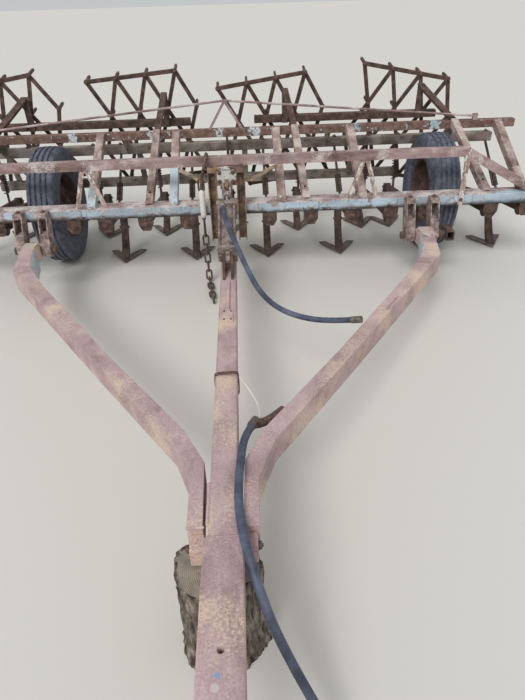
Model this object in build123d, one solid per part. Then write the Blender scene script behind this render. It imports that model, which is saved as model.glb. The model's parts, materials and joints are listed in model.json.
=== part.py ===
from build123d import *
import os
from math import atan2, cos, degrees, hypot, pi, radians, sin, sqrt, tan

# A drawn field cultivator, in millimetres. Y runs from the hitch to the rear and X across the machine.
# Everything is placed from the front face of the front beam, on the machine's middle line, at floor level.
# The last step moves the whole machine so that its middle lies over the origin.

# General fits
SEAT_GAP = 0.3
MOVING_GAP = 6
FAR = 9000

# Front beam: one wide box section
FRONT_HALF = 1960
FRONT_DEEP = 110
FRONT_HIGH = 65
FRONT_TOP = 507
BEAM_WALL = 6

# Rear beam and the press beam hung under it
REAR_HALF = 1930
REAR_Y = 571
REAR_SIZE = 50
REAR_TOP = 806
PRESS_HALF = 1890
PRESS_SIZE = 60
PRESS_Y = 775
PRESS_TOP = 675
PRESS_BRACKET = 12
PRESS_BRACKET_X = (-1560, -700, 0, 700, 1560)

# Longitudinal bars from the front beam up to the rear beam: middle, and how far back each starts
LONGITUDINALS = ((-1810, 70), (-820, 5), (-328, 5), (328, 5), (820, 5), (1810, 70))
LONGITUDINAL_SIZE = 50
LONGITUDINAL_FOOT = 10
FOOT_MIDDLE = 40

# Truss chord over the front beam, an angle bar that slopes down at both ends
CHORD_HALF = 1425
CHORD_END = 1890
CHORD_Y = 15
CHORD_SIZE = 50
CHORD_THICK = 6
CHORD_BOTTOM = 730
STRUT_WIDE = 26
STRUT_THICK = 8
STRUT_SPREAD = 80
STRUT_X = (-820, 820)
POST_WIDE = 30
POST_X = (-1420, 1420)
POST_STRAP = 60

# Tower over the drawbar's middle
TOWER_INNER = 58
TOWER_WIDE = 50
TOWER_DEEP = 42
TOWER_BOTTOM = 292
TOWER_WALL = 6
TOWER_CAP = 10
CROSSHEAD_HIGH = 95
CROSSHEAD_THICK = 14
BRACE_THICK = 8
BRACE_Z = 640
BRACE_RUN = 280

# Drawbar hinge: pins across the machine in two pairs of channel ears
HINGE_Y = -100
HINGE_Z = 305
PIN_R = 16
EAR_INNER = 1070
EAR_WIDE = 55
EAR_SPACE = 90
EAR_DEEP = 70
EAR_WALL = 8
EAR_TOP_OVER = 8
EAR_R = 42
EAR_SLOT = 60
NUT_R = 26
NUT_LONG = 22

# Drawbar: two slanted arms, a middle beam and a tongue, whose tops lie in one plane through the hinge
DRAWBAR_TILT = 2.67
ARM_TOP = 64
ARM_HIGH = 100
ARM_WALL = 8
HEAD_R = 38
BEAM_WIDE = 80
BEAM_REAR = 60
BEAM_FRONT = 2280
TONGUE_WIDE = 102
TONGUE_FRONT = 2900
EYE_R = 55
EYE_BORE = 21
EYE_THICK = 30
TONGUE_HOLE = 7
TONGUE_HOLE_Y = 2563

# The arm's outline from above, right side: distance from the middle, distance in front of the front beam
ARM_OUTLINE = ((1207, 92), (1207, 210), (1135, 554), (507, 1445), (158, 1930), (99, 2087), (96, 2247),
               (54, 2247), (60, 2014), (134, 1863), (442, 1440), (930, 727), (1070, 480), (1133, 210),
               (1133, 92))
SLIT_FROM = (790, 1018)
SLIT_TO = (700, 1146)
SLIT_WIDE = 16

# Hydraulic cylinder between the tower and the middle beam
CYL_TOP_Y = -80
CYL_TOP_Z = 640
CYL_BASE_Y = -640
CYL_BASE_Z = 452
CYL_PIN_R = 11
CYL_DRIFT = 10.5
LUG_R = 36
LUG_THICK = 22
BARREL_R = 44
BARREL_WALL = 6
BARREL_FROM = 52
BARREL_TO = 372
FLANGE_SIZE = 112
FLANGE_THICK = 26
TIE_R = 7
TIE_INSET = 16
ROD_R = 16
ROD_FIT = 0.05
ROD_INSIDE = 200
FORK_LONG = 62
FORK_WIDE = 52
FORK_THICK = 12
BASE_EAR_THICK = 14
BASE_EAR_GAP = 3

# Wheels
TYRE_R = 376
TYRE_WIDE = 185
RIM_R = 205
RIM_SHARE = 0.62
WHEEL_SIDES = 36
RIBS = (-0.42, -0.14, 0.14, 0.42)
RIB_DEEP = 8
RIM_WALL = 7
DISC_THICK = 8
DISC_X = -6
DISC_DEEP = 38
HUB_R = 48
HUB_LONG = 120
AXLE_R = 20
WHEEL_Y = 482
LEFT_WHEEL_X = -1165
RIGHT_WHEEL_X = 1390
WHEEL_ARM_WIDE = 50
WHEEL_ARM_HIGH = 70
WHEEL_ARM_GAP = 12

# Gangs: place across the machine and whether the gang is long
GANGS = ((-1850, 0), (-1625, 1), (-1400, 1), (-946, 1), (-754, 0), (-510, 1), (-255, 0), (0, 1), (250, 0),
         (505, 1), (760, 0), (1000, 1), (1215, 1), (1625, 1), (1850, 0))
GANG_WIDE = 30
GANG_HIGH = 44
GANG_HINGE_Z = 386
GANG_TAIL_Z = 262
SHORT_TAIL = 470
LONG_TAIL = 915
CHEEK_WIDE = 88
CHEEK_THICK = 8
CHEEK_R = 44
STANDARD_WIDE = 50
STANDARD_THICK = 18
STANDARD_RAKE = 60
SWEEP_HALF = 128
SWEEP_LONG = 200
SWEEP_THICK = 8
SWEEP_CLEAR = 12
PRESS_ROD_R = 9
SPRING_R = 22
SPRING_LONG = 150
SPRING_START = 75
PRESS_FOOT_SHORT = 60
PRESS_FOOT_LONG = 150

# Harrow carriers over the frame, the bars under their ends, and the harrow sections leaning on them
CARRIERS = ((-1598, -1518, -1345), (-480, -452, -410), (480, 452, 410), (1598, 1518, 1345))
CARRIER_SIZE = 45
CARRIER_WALL = 5
CARRIER_FRONT = 41
CARRIER_DROP = 36
LEG_WIDE = 40
LEG_FOOT_Y = 606
LEG_TOP_Z = 985
CARRIER_REAR = 830
CARRIER_HOLE_R = 8
CARRIER_BAR_Y = 838
CARRIER_BAR_SIZE = 48
CARRIER_BAR_TOP = 824
CARRIER_BARS = ((-1720, -250), (196, 1480))
HANGER_WIDE = 40
HANGER_THICK = 10
LOWER_BAR_X = (-1700, 1250)
LOWER_BAR_Y = 868
LOWER_BAR_DEEP = 45
LOWER_BAR_TOP = 420
LOWER_BAR_HIGH = 60
LOWER_HANGER_X = (-1550, -630, 120, 900)

# Harrow section: middle of its top bar across the machine, height of the top bar, tilt in its own plane
HARROWS = ((-1530, 1085, 9), (-570, 1100, 5), (300, 1050, 8), (1290, 1060, -11))
HARROW_LEAN = 9
HARROW_BAR = 26
HARROW_THICK = 12
HARROW_STEP = 200
HARROW_ROW = 240
HARROW_ROWS = 3
TOOTH_SIZE = 16
TOOTH_LONG = 110

# Stay rod over the rear beam
STAY_HALF = 1640
STAY_TOP = 977
STAY_R = 7
STAY_END_Z = 832
STAY_FOOT = 105

# Chain with its turnbuckle, hanging from the truss chord left of the tower
CHAIN_X = -150
CHAIN_Y = -24
LINK_R = 6
LINK_LONG = 88
LINK_WIDE = 44
HANGING_LINKS = 5
LYING_LINKS = 5
LYING_TURN = 7
TURNBUCKLE_R = 16
TURNBUCKLE_LONG = 150
HOOK_R = 7
HOOK_LOW = 640

# Wood stump under the tongue
STUMP_X = -25
STUMP_Y = -2300
STUMP_RX = 116
STUMP_RY = 96
STUMP_HIGH = 390
STUMP_SIDES = 14

# Hoses
HOSE_R = 12.5
FITTING_R = 15
FITTING_LONG = 45

NODES = {}


def block(x0, x1, y0, y1, z0, z1):
    """A box between two corners."""
    return Pos((x0 + x1) / 2, (y0 + y1) / 2, (z0 + z1) / 2) * Box(x1 - x0, y1 - y0, z1 - z0)


def clip(piece, x=(-FAR, FAR), y=(-FAR, FAR), z=(-FAR, FAR)):
    """The part of a piece that lies between the given limits."""
    return piece & block(x[0], x[1], y[0], y[1], z[0], z[1])


def bar(start, end, across, deep, side=(1, 0, 0)):
    """A rectangular bar between two points, 'across' wide along the side direction."""
    a, b = Vector(start), Vector(end)
    along = (b - a).normalized()
    flat = (Vector(side) - along * along.dot(Vector(side))).normalized()
    return extrude(Plane(origin=a, x_dir=flat, z_dir=along) * Rectangle(across, deep), amount=(b - a).length)


def rod(start, end, radius, sides=0):
    """A round bar between two points, or one with that many flat sides."""
    a, b = Vector(start), Vector(end)
    section = RegularPolygon(radius, sides) if sides else Circle(radius)
    return extrude(Plane(origin=a, z_dir=(b - a).normalized()) * section, amount=(b - a).length)


def cross_rod(x0, x1, y, z, radius, sides=0):
    """A round bar across the machine, or one with that many flat sides."""
    return rod((x0, y, z), (x1, y, z), radius, sides)


def turned(outline, sides):
    """A turned piece about the X axis with flat sides, from its closed outline of X and radius."""
    face = make_face(Polyline(*[(x, 0, r) for x, r in outline], close=True))
    reach = 1.1 * max(r for x, r in outline)
    half = reach * tan(pi / sides)
    slice_shape = side_plate(((0, 0), (-half, reach), (half, reach)), -FAR, FAR)
    piece = extrude(face, amount=half, dir=(0, 1, 0), both=True) & slice_shape
    pieces = [Rot(360 / sides * i, 0, 0) * piece for i in range(sides)]
    return pieces[0].fuse(*pieces[1:])


def side_plate(points, x0, x1):
    """A plate across the machine whose outline is given by points of Y and Z."""
    face = make_face(Polyline(*[(0, y, z) for y, z in points], close=True))
    return Pos(x0, 0, 0) * extrude(face, amount=x1 - x0, dir=(1, 0, 0))


def front_plate(points, y0, y1):
    """A plate along the machine whose outline is given by points of X and Z."""
    face = make_face(Polyline(*[(x, 0, z) for x, z in points], close=True))
    return Pos(0, y0, 0) * extrude(face, amount=y1 - y0, dir=(0, 1, 0))


def flat_plate(points, z0, z1):
    """A level plate whose outline is given by points of X and Y."""
    face = make_face(Polyline(*[(x, y, 0) for x, y in points], close=True))
    return Pos(0, 0, z0) * extrude(face, amount=z1 - z0, dir=(0, 0, 1))


def mirrored(piece):
    """The same piece on the other side of the machine's middle."""
    return mirror(piece, about=Plane.YZ)


def save(name, pieces):
    """Keep one node's solids under its name."""
    NODES[name] = [solid for piece in pieces for solid in piece.solids()]


def drawbar_place(piece):
    """Tilt a piece of the drawbar about the hinge, so that the tongue rises to the front."""
    return Pos(0, HINGE_Y, HINGE_Z) * Rot(-DRAWBAR_TILT, 0, 0) * Pos(0, -HINGE_Y, -HINGE_Z) * piece


# Frame
def front_beam():
    outer = block(-FRONT_HALF, FRONT_HALF, 0, FRONT_DEEP, FRONT_TOP - FRONT_HIGH, FRONT_TOP)
    return outer - block(-FAR, FAR, BEAM_WALL, FRONT_DEEP - BEAM_WALL, FRONT_TOP - FRONT_HIGH + BEAM_WALL,
                         FRONT_TOP - BEAM_WALL)


def rear_beam():
    outer = block(-REAR_HALF, REAR_HALF, REAR_Y, REAR_Y + REAR_SIZE, REAR_TOP - REAR_SIZE, REAR_TOP)
    return outer - block(-FAR, FAR, REAR_Y + BEAM_WALL, REAR_Y + REAR_SIZE - BEAM_WALL,
                         REAR_TOP - REAR_SIZE + BEAM_WALL, REAR_TOP - BEAM_WALL)


PRESS_BOTTOM = PRESS_TOP - PRESS_SIZE


def press_beam():
    """The beam behind the wheels, with its brackets from the rear beam's back."""
    piece = block(-PRESS_HALF, PRESS_HALF, PRESS_Y, PRESS_Y + PRESS_SIZE, PRESS_BOTTOM, PRESS_TOP)
    back = REAR_Y + REAR_SIZE
    outline = ((back, REAR_TOP), (back, REAR_TOP - REAR_SIZE), (PRESS_Y, PRESS_BOTTOM + 8), (PRESS_Y, PRESS_TOP),
               (PRESS_Y + PRESS_SIZE, PRESS_TOP), (PRESS_Y + PRESS_SIZE, PRESS_TOP + 10))
    for x in PRESS_BRACKET_X:
        piece += side_plate(outline, x - PRESS_BRACKET / 2, x + PRESS_BRACKET / 2)
    return piece


def longitudinals():
    pieces = []
    for x, start in LONGITUDINALS:
        foot = (x, FOOT_MIDDLE, FRONT_TOP + LONGITUDINAL_FOOT)
        head = (x, REAR_Y, REAR_TOP - REAR_SIZE / 2)
        run = Vector(head) - Vector(foot)
        low = Vector(foot) - run * 0.2
        high = Vector(head) + run * 0.1
        piece = bar(low, high, LONGITUDINAL_SIZE, LONGITUDINAL_SIZE)
        pieces.append(clip(piece, y=(start, REAR_Y), z=(FRONT_TOP, FAR)))
    return pieces


CHORD_TOP = CHORD_BOTTOM + CHORD_SIZE


def truss_chord():
    def angle(length):
        face = Plane.YZ * make_face(Polyline((0, 0), (CHORD_THICK, 0), (CHORD_THICK, CHORD_SIZE - CHORD_THICK),
                                             (CHORD_SIZE, CHORD_SIZE - CHORD_THICK), (CHORD_SIZE, CHORD_SIZE),
                                             (0, CHORD_SIZE), close=True))
        return extrude(face, amount=length)

    middle = Pos(-CHORD_HALF, CHORD_Y, CHORD_BOTTOM) * angle(2 * CHORD_HALF)
    fall = degrees(atan2(CHORD_BOTTOM - FRONT_TOP + CHORD_SIZE / 2, CHORD_END - CHORD_HALF))
    slope = Pos(CHORD_HALF, CHORD_Y, CHORD_TOP) * Rot(0, fall, 0) * Pos(-CHORD_SIZE, 0, -CHORD_SIZE) * angle(900)
    slope = clip(slope, x=(CHORD_HALF, FAR), z=(FRONT_TOP, FAR))
    return middle + slope + mirrored(slope)


def truss_posts():
    pieces = []
    y0 = CHORD_Y + CHORD_THICK
    for x in STRUT_X:
        pair = None
        for sign in (-1, 1):
            leg = bar((x + sign * STRUT_SPREAD * 1.3, y0 + STRUT_THICK / 2, FRONT_TOP - 60),
                      (x, y0 + STRUT_THICK / 2, CHORD_TOP - CHORD_THICK - 6), STRUT_WIDE, STRUT_THICK)
            leg = clip(leg, z=(FRONT_TOP, FAR))
            pair = leg if pair is None else pair + leg
        pieces.append(pair)
    low = FRONT_TOP - POST_STRAP
    for x in POST_X:
        outline = ((-6, low), (0, low), (0, FRONT_TOP), (CHORD_Y, CHORD_BOTTOM), (CHORD_Y, CHORD_TOP - 8),
                   (CHORD_Y - 6, CHORD_TOP - 8), (-6, FRONT_TOP + 4))
        pieces.append(side_plate(outline, x - POST_WIDE / 2, x + POST_WIDE / 2))
    return pieces


TOWER_TOP = CHORD_BOTTOM - 4


def tower():
    inner = TOWER_INNER
    outer = inner + TOWER_WIDE
    post = block(inner, outer, -TOWER_DEEP, 0, TOWER_BOTTOM, TOWER_TOP)
    post -= block(inner + TOWER_WALL, outer - TOWER_WALL, -FAR, -TOWER_WALL, TOWER_BOTTOM - 1, TOWER_TOP - 20)
    posts = post + mirrored(post)
    cap = block(-outer, outer, -TOWER_DEEP, CHORD_Y, TOWER_TOP, TOWER_TOP + TOWER_CAP)
    crosshead = block(-inner, inner, -TOWER_DEEP + 8, -TOWER_DEEP + 8 + CROSSHEAD_THICK,
                      TOWER_TOP - CROSSHEAD_HIGH, TOWER_TOP)
    return posts + cap + crosshead


def tower_braces():
    """Flat braces from the tower's back out to the two inner longitudinals."""
    outline = ((110, 0), (150, 0), (303, BRACE_RUN - 40), (303, BRACE_RUN + 20))
    brace = flat_plate(outline, BRACE_Z, BRACE_Z + BRACE_THICK)
    return [brace, mirrored(brace)]


def cylinder_lug():
    """The eye plate for the cylinder on the tower's crosshead, with room for the pin to drift."""
    back = -TOWER_DEEP + 8
    disc = cross_rod(-LUG_THICK / 2, LUG_THICK / 2, CYL_TOP_Y, CYL_TOP_Z, LUG_R)
    web = block(-LUG_THICK / 2, LUG_THICK / 2, CYL_TOP_Y, back, CYL_TOP_Z - LUG_R, CYL_TOP_Z + LUG_R)
    return disc + web - cross_rod(-FAR, FAR, CYL_TOP_Y, CYL_TOP_Z, CYL_PIN_R + CYL_DRIFT)


def hinge_ears():
    pieces = []
    top = FRONT_TOP + EAR_TOP_OVER
    for x in (EAR_INNER, EAR_INNER + EAR_WIDE + EAR_SPACE):
        side = side_plate(((0, top), (-EAR_DEEP + 14, top), (-EAR_DEEP - 20, FRONT_TOP - 60),
                           (HINGE_Y - EAR_R, HINGE_Z + 10), (HINGE_Y - EAR_R, HINGE_Z),
                           (HINGE_Y - EAR_R * 0.7, HINGE_Z - EAR_R * 0.7), (HINGE_Y, HINGE_Z - EAR_R),
                           (HINGE_Y + EAR_R * 0.7, HINGE_Z - EAR_R * 0.7), (HINGE_Y + EAR_R, HINGE_Z),
                           (0, FRONT_TOP - FRONT_HIGH)), x, x + EAR_WIDE)
        side -= block(x + EAR_WALL, x + EAR_WIDE - EAR_WALL, -FAR, -EAR_WALL, FRONT_TOP - 100, FRONT_TOP - 20)
        side -= cross_rod(x - 1, x + EAR_WIDE + 1, HINGE_Y, HINGE_Z, PIN_R)
        pieces += [side, mirrored(side)]
    return pieces


def hinge_pins():
    x0 = EAR_INNER - NUT_LONG
    x1 = EAR_INNER + 2 * EAR_WIDE + EAR_SPACE + NUT_LONG
    pin = cross_rod(x0, x1, HINGE_Y, HINGE_Z, PIN_R)
    for a, b in ((x0, x0 + NUT_LONG), (x1 - NUT_LONG, x1)):
        nut = Plane(origin=(a, HINGE_Y, HINGE_Z), z_dir=(1, 0, 0)) * RegularPolygon(NUT_R, 6)
        pin += extrude(nut, amount=b - a)
    return [pin, mirrored(pin)]


# Gangs
GANG_Y = 62


def gang_cheeks():
    pieces = []
    bottom = FRONT_TOP - FRONT_HIGH
    for x, kind in GANGS:
        for sign in (-1, 1):
            x0 = x + sign * (GANG_WIDE / 2 + SEAT_GAP)
            x1 = x0 + sign * CHEEK_THICK
            low, high = min(x0, x1), max(x0, x1)
            cheek = block(low, high, GANG_Y - CHEEK_R, GANG_Y + CHEEK_R, GANG_HINGE_Z, bottom)
            cheek += cross_rod(low, high, GANG_Y, GANG_HINGE_Z, CHEEK_R, 12)
            pieces.append(cheek)
    return pieces


def gang_flanges():
    """The bolted front flange of each gang hinge, under the beam's front face."""
    pieces = []
    bottom = FRONT_TOP - FRONT_HIGH
    for x, kind in GANGS:
        if x == 0:
            continue
        plate = front_plate(((x - 44, bottom), (x + 44, bottom), (x + 44, bottom - 50), (x + 24, bottom - 84),
                             (x - 24, bottom - 84), (x - 44, bottom - 50)), 4, 14)
        pieces.append(plate)
    return pieces


def gang_tail(kind):
    """Where a gang ends: how far behind the front face, and how high."""
    share = (GANG_HINGE_Z - GANG_TAIL_Z) / (LONG_TAIL - GANG_Y)
    y = LONG_TAIL if kind else SHORT_TAIL
    return y, GANG_HINGE_Z - share * (y - GANG_Y)


def gang_bars(wanted):
    pieces = []
    for x, kind in GANGS:
        if kind != wanted:
            continue
        y, z = gang_tail(kind)
        beam = clip(bar((x, GANG_Y, GANG_HINGE_Z), (x, y, z), GANG_WIDE, GANG_HIGH), y=(-FAR, y))
        pieces.append(beam + cross_rod(x - GANG_WIDE / 2, x + GANG_WIDE / 2, GANG_Y, GANG_HINGE_Z,
                                       GANG_HIGH / 2, 12))
    return pieces


SWEEP_TOP = SWEEP_CLEAR + SWEEP_THICK


def standards():
    """The bent shanks that hang from the gangs' tails and carry the sweeps."""
    pieces = []
    low = SWEEP_TOP + SEAT_GAP
    for x, kind in GANGS:
        y, z = gang_tail(kind)
        y += SEAT_GAP
        foot = y - STANDARD_RAKE
        outline = ((y, z + 26), (y + STANDARD_THICK + 14, z + 20), (y + STANDARD_THICK + 24, z - 60),
                   (y + STANDARD_THICK - 8, z - 150), (foot + 8, low + 46), (foot - 30, low), (foot - 90, low),
                   (foot - 84, low + 12), (foot - 12, low + 64), (y - 4, z - 148), (y + 12, z - 60), (y, z - 24))
        pieces.append(side_plate(outline, x - STANDARD_WIDE / 2, x + STANDARD_WIDE / 2))
    return pieces


def sweeps():
    """Flat winged shares with swept-back cutting edges, each under its standard's foot."""
    pieces = []
    for x, kind in GANGS:
        y, z = gang_tail(kind)
        nose = y - STANDARD_RAKE - 120
        half = SWEEP_HALF
        outline = ((x, nose), (x + half, nose + SWEEP_LONG), (x + half - 50, nose + SWEEP_LONG + 6),
                   (x, nose + 96), (x - half + 50, nose + SWEEP_LONG + 6), (x - half, nose + SWEEP_LONG))
        pieces.append(flat_plate(outline, SWEEP_CLEAR, SWEEP_TOP))
    return pieces


def press_rods():
    """Rods from the gangs' tops up to the underside of the press beam."""
    pieces = []
    for x, kind in GANGS:
        foot, head = press_line(x, kind)
        y, z = gang_tail(kind)
        gang = bar((x, GANG_Y, GANG_HINGE_Z), (x, y, z), GANG_WIDE + 20, GANG_HIGH + 2 * SEAT_GAP)
        pieces.append(clip(rod(foot, head, PRESS_ROD_R, 8), z=(-FAR, PRESS_BOTTOM)) - gang)
    return pieces


# Harrow carriers
CARRIER_SLOPE = (REAR_TOP - CARRIER_DROP - FRONT_TOP) / (REAR_Y - FRONT_DEEP)


def carrier_under(y):
    """Height of a carrier's underside, which lies on the front beam and butts against the rear beam."""
    return FRONT_TOP + CARRIER_SLOPE * (y - FRONT_DEEP)


def carriers():
    """Square tubes from the top of the front beam back to the rear beam, with open front ends."""
    pieces = []
    lift = CARRIER_SIZE / 2 * sqrt(1 + CARRIER_SLOPE ** 2)
    hollow = CARRIER_SIZE - 2 * CARRIER_WALL
    for front_x, middle_x, rear_x in CARRIERS:
        a = Vector(front_x, CARRIER_FRONT, carrier_under(CARRIER_FRONT) + lift)
        b = Vector(middle_x, REAR_Y, carrier_under(REAR_Y) + lift)
        run = b - a
        tube = bar(a - run * 0.1, b + run * 0.1, CARRIER_SIZE, CARRIER_SIZE)
        tube -= bar(a - run * 0.2, b + run * 0.2, hollow, hollow)
        hole = a + run * 0.14
        tube -= rod((hole.X, hole.Y, hole.Z - 100), (hole.X, hole.Y, hole.Z + 100), CARRIER_HOLE_R)
        pieces.append(clip(tube, y=(CARRIER_FRONT, REAR_Y), z=(FRONT_TOP, FAR)))
    return pieces


def carrier_legs():
    """Legs from the top of the rear beam, each with a flat hanger down the front of the carrier bars."""
    pieces = []
    for front_x, middle_x, rear_x in CARRIERS:
        a = Vector(middle_x, LEG_FOOT_Y, REAR_TOP)
        b = Vector(rear_x, CARRIER_REAR, LEG_TOP_Z)
        run = b - a
        leg = bar(a - run * 0.2, b + run * 0.1, LEG_WIDE, LEG_WIDE / 2)
        leg = clip(leg, y=(LEG_FOOT_Y - 14, CARRIER_REAR), z=(REAR_TOP, FAR))
        pieces.append(leg + block(rear_x - HANGER_WIDE / 2, rear_x + HANGER_WIDE / 2, CARRIER_REAR - 4,
                                  CARRIER_BAR_Y, CARRIER_BAR_TOP - CARRIER_BAR_SIZE, LEG_TOP_Z + 10))
    return pieces


def carrier_bars():
    pieces = []
    for x0, x1 in CARRIER_BARS:
        pieces.append(block(x0, x1, CARRIER_BAR_Y, CARRIER_BAR_Y + CARRIER_BAR_SIZE,
                            CARRIER_BAR_TOP - CARRIER_BAR_SIZE, CARRIER_BAR_TOP))
    return pieces


def lower_bar():
    x0, x1 = LOWER_BAR_X
    rear = LOWER_BAR_Y + LOWER_BAR_DEEP
    piece = block(x0, x1, LOWER_BAR_Y, rear, LOWER_BAR_TOP - LOWER_BAR_HIGH, LOWER_BAR_TOP)
    return piece - block(x0 - 1, x1 + 1, LOWER_BAR_Y + 6, FAR, LOWER_BAR_TOP - LOWER_BAR_HIGH + 6,
                         LOWER_BAR_TOP - 6)


def lower_hangers():
    """Slanted straps from the press beam's underside back to the lower bar."""
    pieces = None
    for x in LOWER_HANGER_X:
        start = Vector(x, PRESS_Y + PRESS_SIZE / 2, PRESS_BOTTOM)
        end = Vector(x, LOWER_BAR_Y + 10, LOWER_BAR_TOP)
        run = end - start
        piece = bar(start - run * 0.2, end + run * 0.2, HANGER_WIDE, HANGER_THICK)
        piece = clip(piece, z=(LOWER_BAR_TOP - 2, PRESS_BOTTOM))
        pieces = piece if pieces is None else pieces + piece
    return pieces


HARROW_FACE = CARRIER_BAR_Y + CARRIER_BAR_SIZE


def harrow_place(x, top, tilt):
    """Where a harrow section's own plane stands: its top bar up, leaning on the carrier bar."""
    lean_y = HARROW_FACE + SEAT_GAP + (CARRIER_BAR_TOP - top) * tan(radians(HARROW_LEAN))
    return Pos(x, lean_y, top) * Rot(90 + HARROW_LEAN, 0, 0) * Rot(0, 0, tilt)


def harrow_nodes():
    """Joints of the lattice in the section's plane: across, and down from the top bar."""
    rows = []
    for row in range(HARROW_ROWS + 1):
        shift = HARROW_STEP / 4 if row % 2 else -HARROW_STEP / 4
        rows.append([((i - 1.5) * HARROW_STEP + shift, -row * HARROW_ROW) for i in range(4)])
    return rows


def harrow_frame():
    rows = harrow_nodes()
    links = []
    for row in range(HARROW_ROWS):
        upper, lower = rows[row], rows[row + 1]
        for i in range(4):
            links.append((upper[i], lower[i]))
            if row % 2 == 0 and i > 0:
                links.append((upper[i], lower[i - 1]))
            if row % 2 == 1 and i < 3:
                links.append((upper[i], lower[i + 1]))
    links.append((rows[0][0], rows[0][3]))
    links.append((rows[-1][0], rows[-1][3]))
    shape = None
    for (x0, y0), (x1, y1) in links:
        long = hypot(x1 - x0, y1 - y0) + HARROW_BAR * 0.8
        piece = Pos((x0 + x1) / 2, (y0 + y1) / 2) * Rot(0, 0, degrees(atan2(y1 - y0, x1 - x0))) * \
            Rectangle(long, HARROW_BAR)
        shape = piece if shape is None else shape + piece
    return extrude(shape, amount=-HARROW_THICK)


def harrow_frames():
    piece = harrow_frame()
    return [harrow_place(x, top, tilt) * piece for x, top, tilt in HARROWS]


def harrow_teeth():
    pieces = []
    for x, top, tilt in HARROWS:
        for row in harrow_nodes():
            for u, v in row:
                tooth = Pos(u, v, -HARROW_THICK - TOOTH_LONG / 2) * Box(TOOTH_SIZE, TOOTH_SIZE, TOOTH_LONG)
                pieces.append(harrow_place(x, top, tilt) * tooth)
    return pieces


def stay():
    y = REAR_Y + STAY_R + 2
    low = STAY_END_Z
    piece = None
    for sign in (-1, 1):
        half = rod((sign * STAY_HALF, y, low), (0, y, STAY_TOP), STAY_R, 8)
        leg = bar((sign * STAY_FOOT * 1.3, y, REAR_TOP - 50), (0, y, STAY_TOP - 2), 16, 10)
        lug = block(min(sign * STAY_HALF, sign * (STAY_HALF + 30)), max(sign * STAY_HALF, sign * (STAY_HALF + 30)),
                    y - 12, y + 12, REAR_TOP, low + 14)
        for item in (half, leg, lug):
            piece = item if piece is None else piece + item
    return clip(piece, z=(REAR_TOP, FAR))


# Wheels
def wheel_place(x):
    return Pos(x, WHEEL_Y, TYRE_R)


def tyre():
    """A ribbed tyre: a tread band between shoulders, with a sloping wall each side."""
    w = TYRE_WIDE / 2
    r = TYRE_R
    outline = [(-w * RIM_SHARE, RIM_R), (-w, r - 76), (-w * 0.88, r - 24), (-w * 0.74, r - 5)]
    for middle in RIBS:
        x = w * middle
        outline += [(x - 9, r), (x - 4, r - RIB_DEEP), (x + 4, r - RIB_DEEP), (x + 9, r)]
    outline += [(w * 0.74, r - 5), (w * 0.88, r - 24), (w, r - 76), (w * RIM_SHARE, RIM_R)]
    return turned(outline, WHEEL_SIDES)


def rim():
    """The rim's band, its dished disc and the hub, as one piece."""
    w = TYRE_WIDE / 2 * RIM_SHARE
    inner = RIM_R - RIM_WALL
    dished = DISC_X + DISC_DEEP
    outline = ((-w, RIM_R), (-w, inner), (DISC_X - DISC_THICK, inner), (dished - DISC_THICK, HUB_R + 40),
               (dished - DISC_THICK, HUB_R), (-HUB_LONG / 2, HUB_R), (-HUB_LONG / 2, AXLE_R), (HUB_LONG / 2, AXLE_R),
               (HUB_LONG / 2, HUB_R), (dished, HUB_R), (dished, HUB_R + 40), (DISC_X, inner), (w, inner), (w, RIM_R))
    return turned(outline, WHEEL_SIDES) - cross_rod(-HUB_LONG, HUB_LONG, 0, 0, AXLE_R + SEAT_GAP)


def wheel_arms():
    """Arms from the front beam back to the wheels, on the outer side of each, with the stub axles."""
    pieces = []
    for x, sign in ((LEFT_WHEEL_X, -1), (RIGHT_WHEEL_X, 1)):
        near = x + sign * (TYRE_WIDE / 2 + WHEEL_ARM_GAP)
        far = near + sign * WHEEL_ARM_WIDE
        low, high = min(near, far), max(near, far)
        top = FRONT_TOP - 4
        outline = ((FRONT_DEEP, top), (WHEEL_Y + 50, TYRE_R + WHEEL_ARM_HIGH / 2),
                   (WHEEL_Y + 50, TYRE_R - WHEEL_ARM_HIGH / 2), (WHEEL_Y - 60, TYRE_R - WHEEL_ARM_HIGH / 2),
                   (FRONT_DEEP, FRONT_TOP - FRONT_HIGH + 4))
        arm = side_plate(outline, low, high)
        a = near
        b = x - sign * (HUB_LONG / 2 + 14)
        arm += cross_rod(min(a, b), max(a, b), WHEEL_Y, TYRE_R, AXLE_R)
        strut = bar(((low + high) / 2, WHEEL_Y + 10, TYRE_R + 20),
                    ((low + high) / 2, PRESS_Y + 20, PRESS_BOTTOM + 60), 26, 26)
        arm += clip(strut, z=(TYRE_R + 20, PRESS_BOTTOM))
        pieces.append(arm)
    return pieces


# Drawbar
def arm():
    top = HINGE_Z + ARM_TOP
    piece = flat_plate([(x, -y) for x, y in ARM_OUTLINE], top - ARM_HIGH, top)
    head_x0 = EAR_INNER + EAR_WIDE + MOVING_GAP
    head_x1 = EAR_INNER + EAR_WIDE + EAR_SPACE - MOVING_GAP
    neck = HINGE_Y - HEAD_R
    piece = clip(piece, y=(-FAR, neck)) + cross_rod(head_x0, head_x1, HINGE_Y, HINGE_Z, HEAD_R)
    piece += block(head_x0, head_x1, neck - 20, HINGE_Y, HINGE_Z - HEAD_R * 0.8, HINGE_Z + HEAD_R * 0.8)
    return piece - cross_rod(-FAR, FAR, HINGE_Y, HINGE_Z, PIN_R + SEAT_GAP)


def right_arm():
    piece = arm()
    (x0, y0), (x1, y1) = SLIT_FROM, SLIT_TO
    top = HINGE_Z + ARM_TOP
    slit = bar((x0, -y0, top), (x1, -y1, top), SLIT_WIDE, 2 * ARM_WALL, side=(1, -1, 0))
    return piece - slit


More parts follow.
